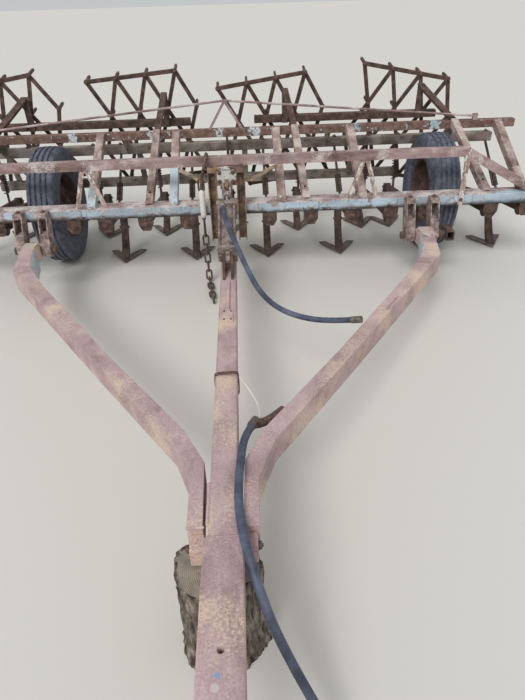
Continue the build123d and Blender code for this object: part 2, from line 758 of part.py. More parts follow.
def centre_beam():
    top = HINGE_Z + ARM_TOP
    half = BEAM_WIDE / 2
    piece = block(-half, half, -BEAM_FRONT, -BEAM_REAR, top - ARM_HIGH + 10, top)
    return piece - block(-half + ARM_WALL, half - ARM_WALL, -620, FAR, top - ARM_HIGH + 10 + ARM_WALL, FAR)


def tongue():
    top = HINGE_Z + ARM_TOP
    half = TONGUE_WIDE / 2
    piece = block(-half, half, -TONGUE_FRONT + 60, -BEAM_FRONT, top - ARM_HIGH, top)
    return piece - rod((0, -TONGUE_HOLE_Y, 0), (0, -TONGUE_HOLE_Y, 900), TONGUE_HOLE)


def hitch_eye():
    top = HINGE_Z + ARM_TOP - ARM_HIGH / 2 + EYE_THICK / 2
    piece = Pos(0, -TONGUE_FRONT, top - EYE_THICK / 2) * Cylinder(EYE_R, EYE_THICK)
    piece += block(-EYE_R, EYE_R, -TONGUE_FRONT, -TONGUE_FRONT + 60, top - EYE_THICK, top)
    return piece - rod((0, -TONGUE_FRONT, 0), (0, -TONGUE_FRONT, 900), EYE_BORE)


def lower_brackets():
    pieces = []
    top = HINGE_Z + ARM_TOP
    arm_end = ARM_OUTLINE[6][1]
    for sign in (-1, 1):
        x0, x1 = sign * TONGUE_WIDE / 2, sign * (TONGUE_WIDE / 2 + 38)
        pieces.append(block(min(x0, x1), max(x0, x1), -arm_end - 52, -arm_end, top - ARM_HIGH + 8, top - 30))
    return pieces


def cylinder_ears():
    """Two ears on the middle beam for the cylinder's base pin, with the pin."""
    inner = LUG_THICK / 2 + BASE_EAR_GAP
    base = drawbar_base()
    pieces = None
    for sign in (-1, 1):
        x0, x1 = sign * inner, sign * (inner + BASE_EAR_THICK)
        low, high = min(x0, x1), max(x0, x1)
        top = HINGE_Z + ARM_TOP
        ear = cross_rod(low, high, base[0], base[1], 28)
        ear += side_plate(((base[0] - 28, base[1]), (base[0] - 120, top), (base[0] + 30, top),
                           (base[0] + 28, base[1])), low, high)
        pieces = ear if pieces is None else pieces + ear
    pieces += cross_rod(-inner - BASE_EAR_THICK - 8, inner + BASE_EAR_THICK + 8, base[0], base[1], CYL_PIN_R)
    return pieces


def drawbar_base():
    """The cylinder's base pin before the drawbar is tilted."""
    a = radians(DRAWBAR_TILT)
    y, z = CYL_BASE_Y - HINGE_Y, CYL_BASE_Z - HINGE_Z
    return HINGE_Y + y * cos(a) - z * sin(a), HINGE_Z + y * sin(a) + z * cos(a)


def strap():
    """The flat strap and its plate on the middle beam, in front of the cylinder's ears."""
    top = HINGE_Z + ARM_TOP
    return block(-8, 8, -1090, -790, top, top + 10) + block(-24, 24, -1190, -1090, top, top + 8)


def stump():
    rings = []
    for z, grow in ((0, 1.16), (70, 1.04), (STUMP_HIGH, 1.0)):
        points = []
        for i in range(STUMP_SIDES):
            a = 2 * 3.14159 * i / STUMP_SIDES
            wave = 1 + 0.05 * sin(3 * a + 0.7) + 0.03 * cos(5 * a)
            points.append((STUMP_X + STUMP_RX * grow * wave * cos(a), STUMP_Y + STUMP_RY * grow * wave * sin(a), z))
        rings.append(make_face(Polyline(*points, close=True)))
    under = HINGE_Z + ARM_TOP - ARM_HIGH - SEAT_GAP
    return loft(rings, ruled=True) & drawbar_place(block(-FAR, FAR, -TONGUE_FRONT, 0, -FAR, under))


# Cylinder, along its own line from the base pin to the top pin
CYL_LONG = hypot(CYL_TOP_Y - CYL_BASE_Y, CYL_TOP_Z - CYL_BASE_Z)
CYL_RISE = degrees(atan2(CYL_TOP_Z - CYL_BASE_Z, CYL_TOP_Y - CYL_BASE_Y))


def cylinder_place(piece):
    """From the cylinder's own line, along Y from its base pin, to its place on the machine."""
    return Pos(0, CYL_BASE_Y, CYL_BASE_Z) * Rot(CYL_RISE, 0, 0) * piece


def barrel():
    eye = cross_rod(-LUG_THICK / 2, LUG_THICK / 2, 0, 0, 26)
    eye += block(-LUG_THICK / 2, LUG_THICK / 2, 0, BARREL_FROM, -24, 24)
    eye -= cross_rod(-FAR, FAR, 0, 0, CYL_PIN_R + SEAT_GAP)
    half = FLANGE_SIZE / 2
    foot = block(-half * 0.9, half * 0.9, BARREL_FROM - 16, BARREL_FROM, -half * 0.9, half * 0.9)
    tube = rod((0, BARREL_FROM, 0), (0, BARREL_TO, 0), BARREL_R)
    tube -= rod((0, BARREL_FROM + 8, 0), (0, BARREL_TO + 1, 0), BARREL_R - BARREL_WALL)
    head = block(-half, half, BARREL_TO, BARREL_TO + FLANGE_THICK, -half, half)
    head -= rod((0, 0, 0), (0, BARREL_TO + FLANGE_THICK + 1, 0), ROD_R + ROD_FIT)
    piece = eye + foot + tube + head
    for sx in (-1, 1):
        for sz in (-1, 1):
            x, z = sx * (half - TIE_INSET), sz * (half - TIE_INSET)
            piece += rod((x, BARREL_FROM - 16, z), (x, BARREL_TO + FLANGE_THICK + 12, z), TIE_R, 8)
    return piece


def piston_rod():
    fork_from = CYL_LONG - FORK_LONG
    piece = rod((0, BARREL_TO - ROD_INSIDE, 0), (0, fork_from - 14, 0), ROD_R)
    half = FORK_WIDE / 2
    piece += block(-half, half, fork_from - 16, fork_from, -22, 22)
    for sign in (-1, 1):
        x0, x1 = sign * (half - FORK_THICK), sign * half
        low, high = min(x0, x1), max(x0, x1)
        piece += block(low, high, fork_from, CYL_LONG, -22, 22) + cross_rod(low, high, CYL_LONG, 0, 22)
    return piece + cross_rod(-half - 12, half + 12, CYL_LONG, 0, CYL_PIN_R)


# Springs and hanging things
def press_line(x, kind):
    """A press rod's line, from inside its gang's bar to inside the press beam."""
    y, z = gang_tail(kind)
    foot_y = y - (PRESS_FOOT_LONG if kind else PRESS_FOOT_SHORT)
    share = (GANG_HINGE_Z - GANG_TAIL_Z) / (LONG_TAIL - GANG_Y)
    foot_z = GANG_HINGE_Z - share * (foot_y - GANG_Y) + GANG_HIGH / 4
    return Vector(x, foot_y, foot_z), Vector(x, PRESS_Y + PRESS_SIZE / 2, PRESS_BOTTOM + 20)


def press_springs():
    """Plain sleeves round the press rods, each the size of its coil spring."""
    pieces = []
    for x, kind in GANGS:
        foot, head = press_line(x, kind)
        along = (head - foot).normalized()
        start = foot + along * SPRING_START
        end = start + along * SPRING_LONG
        pieces.append(rod(start, end, SPRING_R, 12) - rod(foot, head, PRESS_ROD_R + SEAT_GAP, 8))
    return pieces


def bent_rod(points, radius, bend):
    """A round rod along straight runs with one bend radius."""
    path = FilletPolyline(*points, radius=bend)
    start = Vector(points[0])
    run = Vector(points[1]) - start
    return sweep(Plane(origin=start, z_dir=run.normalized()) * Circle(radius), path=path)


def chain_hook():
    """The hook over the truss chord from which the chain hangs."""
    over = CHORD_TOP + HOOK_R + SEAT_GAP
    back = CHORD_Y + CHORD_SIZE + 20
    points = ((CHAIN_X, CHAIN_Y, HOOK_LOW), (CHAIN_X + 16, CHAIN_Y, over - 60), (CHAIN_X + 38, CHAIN_Y + 10, over),
              (CHAIN_X + 40, back, over))
    return bent_rod(points, HOOK_R, 14)


LINK_END = (LINK_LONG - LINK_WIDE) / 2 + (LINK_WIDE / 2 - LINK_R) * sqrt(3) / 2
LINK_PITCH = 2 * LINK_END - 2 * LINK_R - SEAT_GAP
LYING_LOW = 3 * LINK_R + SEAT_GAP
EYE_Z = LYING_LOW + LINK_END + HANGING_LINKS * LINK_PITCH


def link_shape():
    """One oval link of eight-sided wire, standing on the XZ plane."""
    straight = (LINK_LONG - LINK_WIDE) / 2
    r = LINK_WIDE / 2 - LINK_R
    upper = [(r * cos(radians(a)), 0, straight + r * sin(radians(a))) for a in (0, 60, 120, 180)]
    lower = [(x, 0, -z) for x, y, z in reversed(upper)]
    corners = upper + lower
    piece = None
    for a, b in zip(corners, corners[1:] + corners[:1]):
        over = (Vector(b) - Vector(a)).normalized() * LINK_R * 0.27
        side = rod(Vector(a) - over, Vector(b) + over, LINK_R, 8)
        piece = side if piece is None else piece + side
    return piece


def turnbuckle():
    """The turnbuckle's sleeve on its hook, with a threaded end and an eye below."""
    sleeve_top = HOOK_LOW - 40
    sleeve_low = sleeve_top - TURNBUCKLE_LONG
    body = rod((CHAIN_X, CHAIN_Y, sleeve_low), (CHAIN_X, CHAIN_Y, sleeve_top), TURNBUCKLE_R, 12)
    body += rod((CHAIN_X, CHAIN_Y, EYE_Z + LINK_END), (CHAIN_X, CHAIN_Y, HOOK_LOW + 3), HOOK_R, 8)
    return body + Pos(CHAIN_X, CHAIN_Y, EYE_Z) * Rot(0, 0, 90) * link_shape()


def chain():
    """Links that hang from the turnbuckle's eye, each a quarter turn from the last, then lie on the floor."""
    shape = link_shape()
    pieces = []
    for i in range(HANGING_LINKS):
        place = Pos(CHAIN_X, CHAIN_Y, EYE_Z - (i + 1) * LINK_PITCH) * Rot(0, 0, 90 * (i % 2))
        pieces.append(place * shape)
    for i in range(LYING_LINKS):
        on_edge = i % 2 == 0
        y = 2 * LINK_R + SEAT_GAP - LINK_END - i * LINK_PITCH
        z = LINK_WIDE / 2 if on_edge else LYING_LOW
        place = Pos(CHAIN_X, CHAIN_Y, 0) * Rot(0, 0, LYING_TURN) * Pos(0, y, z) * Rot(90, 0, 0)
        pieces.append(place * Rot(0, 0, 90 if on_edge else 0) * shape)
    return pieces


def side_stub():
    """The stub and the open square socket beside the right hinge."""
    x0 = EAR_INNER + 2 * EAR_WIDE + EAR_SPACE + NUT_LONG
    stub = cross_rod(x0, x0 + 26, HINGE_Y, HINGE_Z, 24, 16)
    x1 = x0 + 26
    socket = block(x1, x1 + 48, HINGE_Y - 44, HINGE_Y + 70, HINGE_Z - 30, HINGE_Z + 30)
    socket -= block(x1 + 6, x1 + 42, HINGE_Y - 45, HINGE_Y + 71, HINGE_Z - 24, HINGE_Z + 24)
    return stub + socket


# Hoses, with their routes' points chosen by hand
CYLINDER_HOSE = ((-20, -352, 617), (-12, -432, 606), (6, -522, 586), (32, -612, 556), (66, -712, 512),
                 (104, -832, 468), (152, -962, 430), (226, -1066, 404), (330, -1136, 394), (438, -1186, 404),
                 (526, -1232, 434))
TONGUE_HOSE = ((84, -1866, 456), (62, -1926, 472.7), (51, -2000, 474.7), (44, -2078, 477.7),
               (41, -2152, 480.7), (44, -2222, 484.7), (53, -2290, 487.7), (67, -2350, 476.7), (86, -2402, 438),
               (110, -2446, 372), (146, -2488, 290), (194, -2540, 200), (254, -2606, 112), (316, -2684, 48),
               (352, -2768, 16), (364, -2850, 14))


def hose(points, radius):
    """A hose of straight runs joined by arcs as large as the runs allow."""
    knots = [Vector(p) for p in points]
    radii = []
    for before, here, after in zip(knots, knots[1:], knots[2:]):
        turn = radians((here - before).get_angle(after - here))
        shorter = min((here - before).length, (after - here).length)
        radii.append(0.45 * shorter / tan(turn / 2))
    path = FilletPolyline(*knots, radius=radii)
    piece = sweep(Plane(origin=knots[0], z_dir=(knots[1] - knots[0]).normalized()) * Circle(radius), path=path)
    print("hose length", round(path.length), "smallest radius", round(min(radii)),
          "volume share", round(piece.volume / (pi * radius ** 2 * path.length), 4))
    return piece


def fitting(end, before):
    """A round fitting that carries on from a hose's end."""
    along = (Vector(end) - Vector(before)).normalized()
    return rod(end, Vector(end) + along * FITTING_LONG, FITTING_R, 12)


def port():
    """The cylinder's upper port, under the hose's fitting."""
    x, y, z = CYLINDER_HOSE[0]
    return rod((x, y + 34, z - 34), (x, y + 34, z + 4), FITTING_R - 3, 12)


def hose_coupling():
    """The coupling at the tongue hose's free end, on the floor."""
    end, before = Vector(TONGUE_HOSE[-1]), Vector(TONGUE_HOSE[-2])
    along = (end - before).normalized()
    return rod(end, end + along * 30, FITTING_R - 1, 12) + rod(end + along * 30, end + along * 75, FITTING_R - 3, 12)


save("front_beam", [front_beam()])
save("rear_beam", [rear_beam()])
save("press_beam", [press_beam()])
save("longitudinals", longitudinals())
save("truss_chord", [truss_chord()])
save("truss_posts", truss_posts())
save("tower", [tower() + cylinder_lug()])
save("tower_braces", tower_braces())
save("hinge_ears", hinge_ears())
save("hinge_pins", hinge_pins())
save("gang_hinges", gang_cheeks() + gang_flanges())
save("short_gangs", gang_bars(0))
save("long_gangs", gang_bars(1))
save("standards", standards())
save("sweeps", sweeps())
save("press_rods", press_rods())
save("carriers", carriers())
save("carrier_legs", carrier_legs())
save("carrier_bars", carrier_bars())
save("lower_bar", [lower_bar() + lower_hangers()])
save("harrow_frames", harrow_frames())
save("harrow_teeth", harrow_teeth())
save("stay", [stay()])
save("wheel_arms", wheel_arms())

tyre_shape = tyre()
rim_shape = rim()
for side, x in (("left", LEFT_WHEEL_X), ("right", RIGHT_WHEEL_X)):
    save(f"{side}_tyre", [wheel_place(x) * tyre_shape])
    save(f"{side}_rim", [wheel_place(x) * rim_shape])

save("left_arm", [drawbar_place(mirrored(arm()))])
save("right_arm", [drawbar_place(right_arm())])
save("centre_beam", [drawbar_place(centre_beam())])
save("tongue", [drawbar_place(tongue())])
save("hitch_eye", [drawbar_place(hitch_eye())])
save("lower_brackets", [drawbar_place(piece) for piece in lower_brackets()])
save("cylinder_ears", [drawbar_place(cylinder_ears())])
save("strap", [drawbar_place(strap())])
save("stump", [stump()])
save("cylinder_barrel", [cylinder_place(barrel()) + port() + fitting(CYLINDER_HOSE[0], CYLINDER_HOSE[1])])
save("cylinder_rod", [cylinder_place(piston_rod())])
save("press_springs", press_springs())
save("turnbuckle", [chain_hook() + turnbuckle()])
save("chain", chain())
save("side_stub", [side_stub()])
save("hose_fittings", [fitting(CYLINDER_HOSE[-1], CYLINDER_HOSE[-2]), fitting(TONGUE_HOSE[0], TONGUE_HOSE[1])])
save("cylinder_hose", [hose(CYLINDER_HOSE, HOSE_R)])
save("tongue_hose", [hose(TONGUE_HOSE, HOSE_R)])
save("hose_coupling", [hose_coupling()])

# The machine's middle, without the hoses and the coupling that lies on the floor
LOOSE = ("cylinder_hose", "tongue_hose", "hose_coupling")
machine = Compound([solid for name, solids in NODES.items() if name not in LOOSE for solid in solids])
middle = machine.bounding_box().center()
print("middle", round(middle.X, 3), round(middle.Y, 3))

os.makedirs("parts", exist_ok=True)
for name, solids in NODES.items():
    moved = [Pos(-middle.X, -middle.Y, 0) * solid for solid in solids]
    export_step(Compound(children=moved), f"parts/{name}.step")
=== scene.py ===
# %% [markdown]
# # A drawn field cultivator, parked with its drawbar on a stump
#
# The real machine is one wide steel frame on two tyred wheels, with sprung gangs under it and zigzag harrows
# behind. It has stood outside for years, so its light blue paint is mostly rust now. The solids come from
# the frame that is loaded here. This script gives them their finishes and adds what a solid is too plain
# for: ribbed tyres, coil springs, chain links, bolts, bark and hoses.

# %% Tools, an empty scene and the machine's frame
import json
from math import atan2, cos, hypot, pi, radians, sin, tan

import bmesh
import bpy
from mathutils import Matrix, Vector, noise

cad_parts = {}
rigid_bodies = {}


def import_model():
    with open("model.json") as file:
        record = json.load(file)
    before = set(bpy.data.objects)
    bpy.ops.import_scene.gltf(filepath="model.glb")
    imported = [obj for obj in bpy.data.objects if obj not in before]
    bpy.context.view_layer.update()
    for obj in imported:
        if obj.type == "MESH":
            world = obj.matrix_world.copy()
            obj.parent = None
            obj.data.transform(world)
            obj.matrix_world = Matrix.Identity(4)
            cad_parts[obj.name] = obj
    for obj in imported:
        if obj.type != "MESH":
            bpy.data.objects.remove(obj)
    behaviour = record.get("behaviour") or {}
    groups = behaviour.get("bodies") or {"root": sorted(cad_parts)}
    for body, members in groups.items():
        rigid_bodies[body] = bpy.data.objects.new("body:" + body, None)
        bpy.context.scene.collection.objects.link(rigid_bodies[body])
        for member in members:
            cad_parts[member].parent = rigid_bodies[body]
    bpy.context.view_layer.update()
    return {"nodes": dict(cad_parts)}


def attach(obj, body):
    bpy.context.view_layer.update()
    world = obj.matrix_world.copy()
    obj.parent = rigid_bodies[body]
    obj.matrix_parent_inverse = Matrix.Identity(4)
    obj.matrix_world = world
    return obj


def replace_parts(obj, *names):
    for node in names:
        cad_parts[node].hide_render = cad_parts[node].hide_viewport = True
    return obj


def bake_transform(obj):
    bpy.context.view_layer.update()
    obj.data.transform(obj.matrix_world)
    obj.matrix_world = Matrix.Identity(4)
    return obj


for thing in list(bpy.data.objects):
    bpy.data.objects.remove(thing)
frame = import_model()
nodes = frame["nodes"]

# %% [markdown]
# The drawing of the machine is in millimetres from the front face of its front beam, while Blender works in
# metres from the machine's middle. One small function takes a drawn point to its place here. A second one
# also lifts a point with the drawbar, whose front end rests a little high on the stump. Another puts new
# objects into the scene.

# %% From drawn millimetres to places
MIDDLE_Y = 930.025
HINGE_Y = -100
HINGE_Z = 305
DRAWBAR_TILT = 2.67


def at(x, y, z):
    """The place of a drawn point."""
    return Vector((x, y + MIDDLE_Y, z)) / 1000


def drawbar_matrix():
    """The lift of the drawbar about its hinge."""
    pivot = at(0, HINGE_Y, HINGE_Z)
    turn = Matrix.Rotation(radians(-DRAWBAR_TILT), 4, "X")
    return Matrix.Translation(pivot) @ turn @ Matrix.Translation(-pivot)


def on_drawbar(x, y, z):
    """The place of a point that is drawn on the level drawbar."""
    return drawbar_matrix() @ at(x, y, z)


def new_object(name, data):
    """An object with that data, in the scene."""
    made = bpy.data.objects.new(name, data)
    bpy.context.collection.objects.link(made)
    return made


# %% [markdown]
# ## Camera
#
# The picture was taken by somebody standing in front of the hitch, looking down over the drawbar. The
# camera's place and its three turns were solved from known points of the frame, and are set as plain
# numbers. The lens is written for a picture 525 wide and 700 high.

# %% The camera
CAMERA_PLACE = Vector((0.0913, -2.160875, 1.633))
CAMERA_YAW = 1.6632
CAMERA_DOWN = 35.6472
CAMERA_ROLL = 1.7152
SENSOR_WIDE = 36
LENS = 36.006

yaw, pitch, roll = radians(CAMERA_YAW), radians(CAMERA_DOWN), radians(CAMERA_ROLL)
forward = Vector((sin(yaw) * cos(pitch), cos(yaw) * cos(pitch), -sin(pitch)))
level = Vector((cos(yaw), -sin(yaw), 0))
down = forward.cross(level)
right = cos(roll) * level + sin(roll) * down
under = -sin(roll) * level + cos(roll) * down

camera_data = bpy.data.cameras.new("camera")
camera_data.sensor_fit = "HORIZONTAL"
camera_data.sensor_width = SENSOR_WIDE
camera_data.lens = LENS
camera = new_object("camera", camera_data)
turn = Matrix((right, -under, -forward)).transposed().to_4x4()
camera.matrix_world = Matrix.Translation(CAMERA_PLACE) @ turn
bpy.context.scene.camera = camera
print("camera looks along", [round(v, 3) for v in forward])

# %% [markdown]
# ## Materials
#
# All colours are written as sRGB hex values, as a paint chart gives them. Blender's shaders count in linear
# light, so one function turns them. One more small function adds a node with its settings and its links, and
# a few short ones name the nodes that every finish needs. Patterns are sized in real millimetres.

# %% Colour, scale and node helpers
def paint(hex_value):
    """An sRGB hex colour in linear light."""
    values = []
    for i in (1, 3, 5):
        c = int(hex_value[i:i + 2], 16) / 255
        values.append(c / 12.92 if c <= 0.04045 else ((c + 0.055) / 1.055) ** 2.4)
    return (*values, 1)


def every(millimetres):
    """The texture scale whose pattern repeats about every so many millimetres."""
    return 1000 / millimetres


def add(tree, kind, settings):
    """A node of that kind. A setting is a ramp's stops, a property, an input's value or an output to link."""
    node = tree.nodes.new(kind)
    for key, value in settings.items():
        if key == "stops":
            ramp = node.color_ramp.elements
            while len(ramp) < len(value):
                ramp.new(0.5)
            for element, (place, colour) in zip(ramp, value):
                element.position = place
                element.color = paint(colour)
        elif isinstance(value, bpy.types.NodeSocket):
            tree.links.new(value, node.inputs[key])
        elif isinstance(key, str) and key in node.bl_rna.properties:
            setattr(node, key, value)
        else:
            node.inputs[key].default_value = value
    return node


def mottle(tree, vector, size, detail, roughness=0.5):
    """Noise whose spots are about that many millimetres apart."""
    return add(tree, "ShaderNodeTexNoise", {"Vector": vector, "Scale": every(size), "Detail": detail,
                                            "Roughness": roughness}).outputs["Fac"]


def scaled(tree, vector, scale, location=(0, 0, 0)):
    """The vector with each axis scaled, to stretch a pattern."""
    return add(tree, "ShaderNodeMapping", {"Vector": vector, "Location": location,
                                           "Scale": scale}).outputs["Vector"]


def shaded(tree, value, stops):
    """A colour ramp over the value, from its stops."""
    return add(tree, "ShaderNodeValToRGB", {"Fac": value, "stops": stops}).outputs["Color"]


def ranged(tree, value, start, end, low=0, high=1):
    """The value from start to end, turned into low to high and held there."""
    return add(tree, "ShaderNodeMapRange", {"Value": value, "From Min": start, "From Max": end, "To Min": low,
                                            "To Max": high}).outputs["Result"]


def reckon(tree, way, *terms):
    """A sum or a product with a sum. Each term is a number or an output."""
    return add(tree, "ShaderNodeMath", {"operation": way, **dict(enumerate(terms))}).outputs[0]


def tinted(tree, share, below, above, way="MIX"):
    """One colour over another, by a share."""
    return add(tree, "ShaderNodeMix", {"data_type": "RGBA", "blend_type": way, 0: share, 6: below,
                                       7: above}).outputs[2]


def far_from(tree, coords, place, half):
    """How far a point is from a drawn place, counted in the place's half sizes."""
    away = add(tree, "ShaderNodeVectorMath", {"operation": "SUBTRACT", 0: coords, 1: at(*place)})
    counted = add(tree, "ShaderNodeVectorMath", {"operation": "MULTIPLY", 0: away.outputs[0],
                                                 1: [1000 / h for h in half]})
    return add(tree, "ShaderNodeVectorMath", {"operation": "LENGTH", 0: counted.outputs[0]}).outputs["Value"]


def new_finish(name, roughness, metallic=0.0):
    """A material with its shader and the Object coordinates that all its patterns read."""
    finish = bpy.data.materials.new(name)
    finish.use_nodes = True
    tree = finish.node_tree
    shader = tree.nodes["Principled BSDF"]
    shader.inputs["Roughness"].default_value = roughness
    shader.inputs["Metallic"].default_value = metallic
    return finish, tree, shader, add(tree, "ShaderNodeTexCoord", {}).outputs["Object"]


def cover(tree, shader, colour, height, strength, deep):
    """Give the shader its colour, and a bump of that depth in metres from the height."""
    bump = add(tree, "ShaderNodeBump", {"Strength": strength, "Distance": deep, "Height": height})
    tree.links.new(colour, shader.inputs["Base Color"])
    tree.links.new(bump.outputs["Normal"], shader.inputs["Normal"])


# %% [markdown]
# Weathered steel is the machine's main finish. Rust isn't one colour: broad pale and dark clouds come from
# years of rain, and a fine dark grain from the pits. Where paint is left, it holds in patches with a crisp
# edge, more on upright faces than on tops, where water stands. All steel parts use the same recipe with their
# own colours, because they weathered together.

# %% Weathered steel
TOP_LOSS = 0.16
CHIP_EDGE = (0.485, 0.515)
FOOT_LOSS = 0.17
FOOT_BAND = 0.026
# Painted shade along a beam's lower edge: how dark it gets, and the heights above the foot where it fades
# out.
FOOT_DARK = 0.14
FOOT_SHADOW = (0.034, 0.054)
RAGGED = 0.05
PIT_DEEP = 0.0012
METRE = (1000, 1000, 1000)
REAR_PATCHES = ((-470, 46, 0.17), (-40, 30, 0.15), (190, 50, 0.17), (-1010, 34, 0.15), (1390, 40, 0.16),
                (870, 34, 0.15))


def weathered_steel(name, pale, middle, dark, coat=None, coat_aged=None, coat_left=0.5, coat_on_top=0.0,
                    coat_spots=(), coat_foot=None, dots=(), cloud=90, grain=5, stretch=(1, 1, 1),
                    speckle=None, speckled=0.5, roughness=0.82, depth=0.6):
    """Rusty steel with clouds, pits and speckles, and what is left of its paint. Sizes are in millimetres.

    A coat spot is a drawn place, its half sizes and how firmly the paint has held there. The coat's foot is
    the height of a beam's lower edge, where the paint has gone first; just above it the colour is multiplied
    near black as painted shade under the edge. A dot is a splash of other paint: its drawn place, radius and
    colour.
    """
    finish, tree, shader, coords = new_finish(name, roughness)
    run = scaled(tree, coords, stretch)
    rust = shaded(tree, mottle(tree, run, cloud, 5, 0.62), ((0.33, dark), (0.5, middle), (0.67, pale)))
    pits = mottle(tree, coords, grain, 4, 0.7)
    shade = ranged(tree, pits, 0.3, 0.7, 0.72, 1.22)
    colour = tinted(tree, 1.0, rust, shade, "MULTIPLY")
    height = pits
    if speckle:
        crowd = reckon(tree, "ADD", mottle(tree, coords, cloud * 1.7, 2), mottle(tree, coords, 8, 6, 0.75))
        amount = ranged(tree, crowd, 1.5 - speckled, 1.66 - speckled, 0, 0.85)
        colour = tinted(tree, amount, colour, paint(speckle))
    if coat:
        chips = mottle(tree, run, cloud * 0.45, 9, 0.68)
        normal = add(tree, "ShaderNodeNewGeometry", {}).outputs["Normal"]
        facing_up = add(tree, "ShaderNodeSeparateXYZ", {"Vector": normal}).outputs["Z"]
        top = reckon(tree, "MULTIPLY_ADD", facing_up, -TOP_LOSS * (1 - coat_on_top), coat_left - 0.5)
        share = reckon(tree, "ADD", chips, top)
        for place, half, firm in coat_spots:
            held = ranged(tree, far_from(tree, coords, place, half), 1.15, 0.7, 0, firm)
            share = reckon(tree, "ADD", share, held)
        if coat_foot:
            foot = coat_foot / 1000
            high = add(tree, "ShaderNodeSeparateXYZ", {"Vector": coords}).outputs["Z"]
            gone = ranged(tree, high, foot, foot + FOOT_BAND, -FOOT_LOSS, 0)
            share = reckon(tree, "ADD", share, gone)
        mask = ranged(tree, share, *CHIP_EDGE)
        tone = shaded(tree, mottle(tree, run, cloud * 2.5, 5), ((0.4, coat_aged or coat), (0.62, coat)))
        colour = tinted(tree, mask, colour, tinted(tree, 0.5, tone, shade, "MULTIPLY"))
        height = reckon(tree, "MULTIPLY_ADD", mask, 0.8, pits)
        # Painted shade along the beam's lower edge: just above the foot the colour is multiplied by
        # FOOT_DARK. Rust drip streaks then darken the whole beam.
        if coat_foot:
            ragged = reckon(tree, "MULTIPLY_ADD", chips, RAGGED, high)
            low = ranged(tree, ragged, foot + FOOT_SHADOW[0], foot + FOOT_SHADOW[1], FOOT_DARK, 1)
            drips = mottle(tree, scaled(tree, coords, (1, 1, 0.14)), 16, 5, 0.6)
            for painted_shade_and_drips in (low, ranged(tree, drips, 0.56, 0.7, 1, 0.5)):
                colour = tinted(tree, 1.0, colour, painted_shade_and_drips, "MULTIPLY")
    for place, radius, splash in dots:
        far = far_from(tree, coords, place, METRE)
        ragged = reckon(tree, "MULTIPLY_ADD", pits, 0.012, far)
        inside = ranged(tree, ragged, radius / 1000 + 0.007, radius / 1000 + 0.005, 0, 0.8)
        colour = tinted(tree, inside, colour, paint(splash))
    cover(tree, shader, colour, height, depth, PIT_DEEP)
    return finish


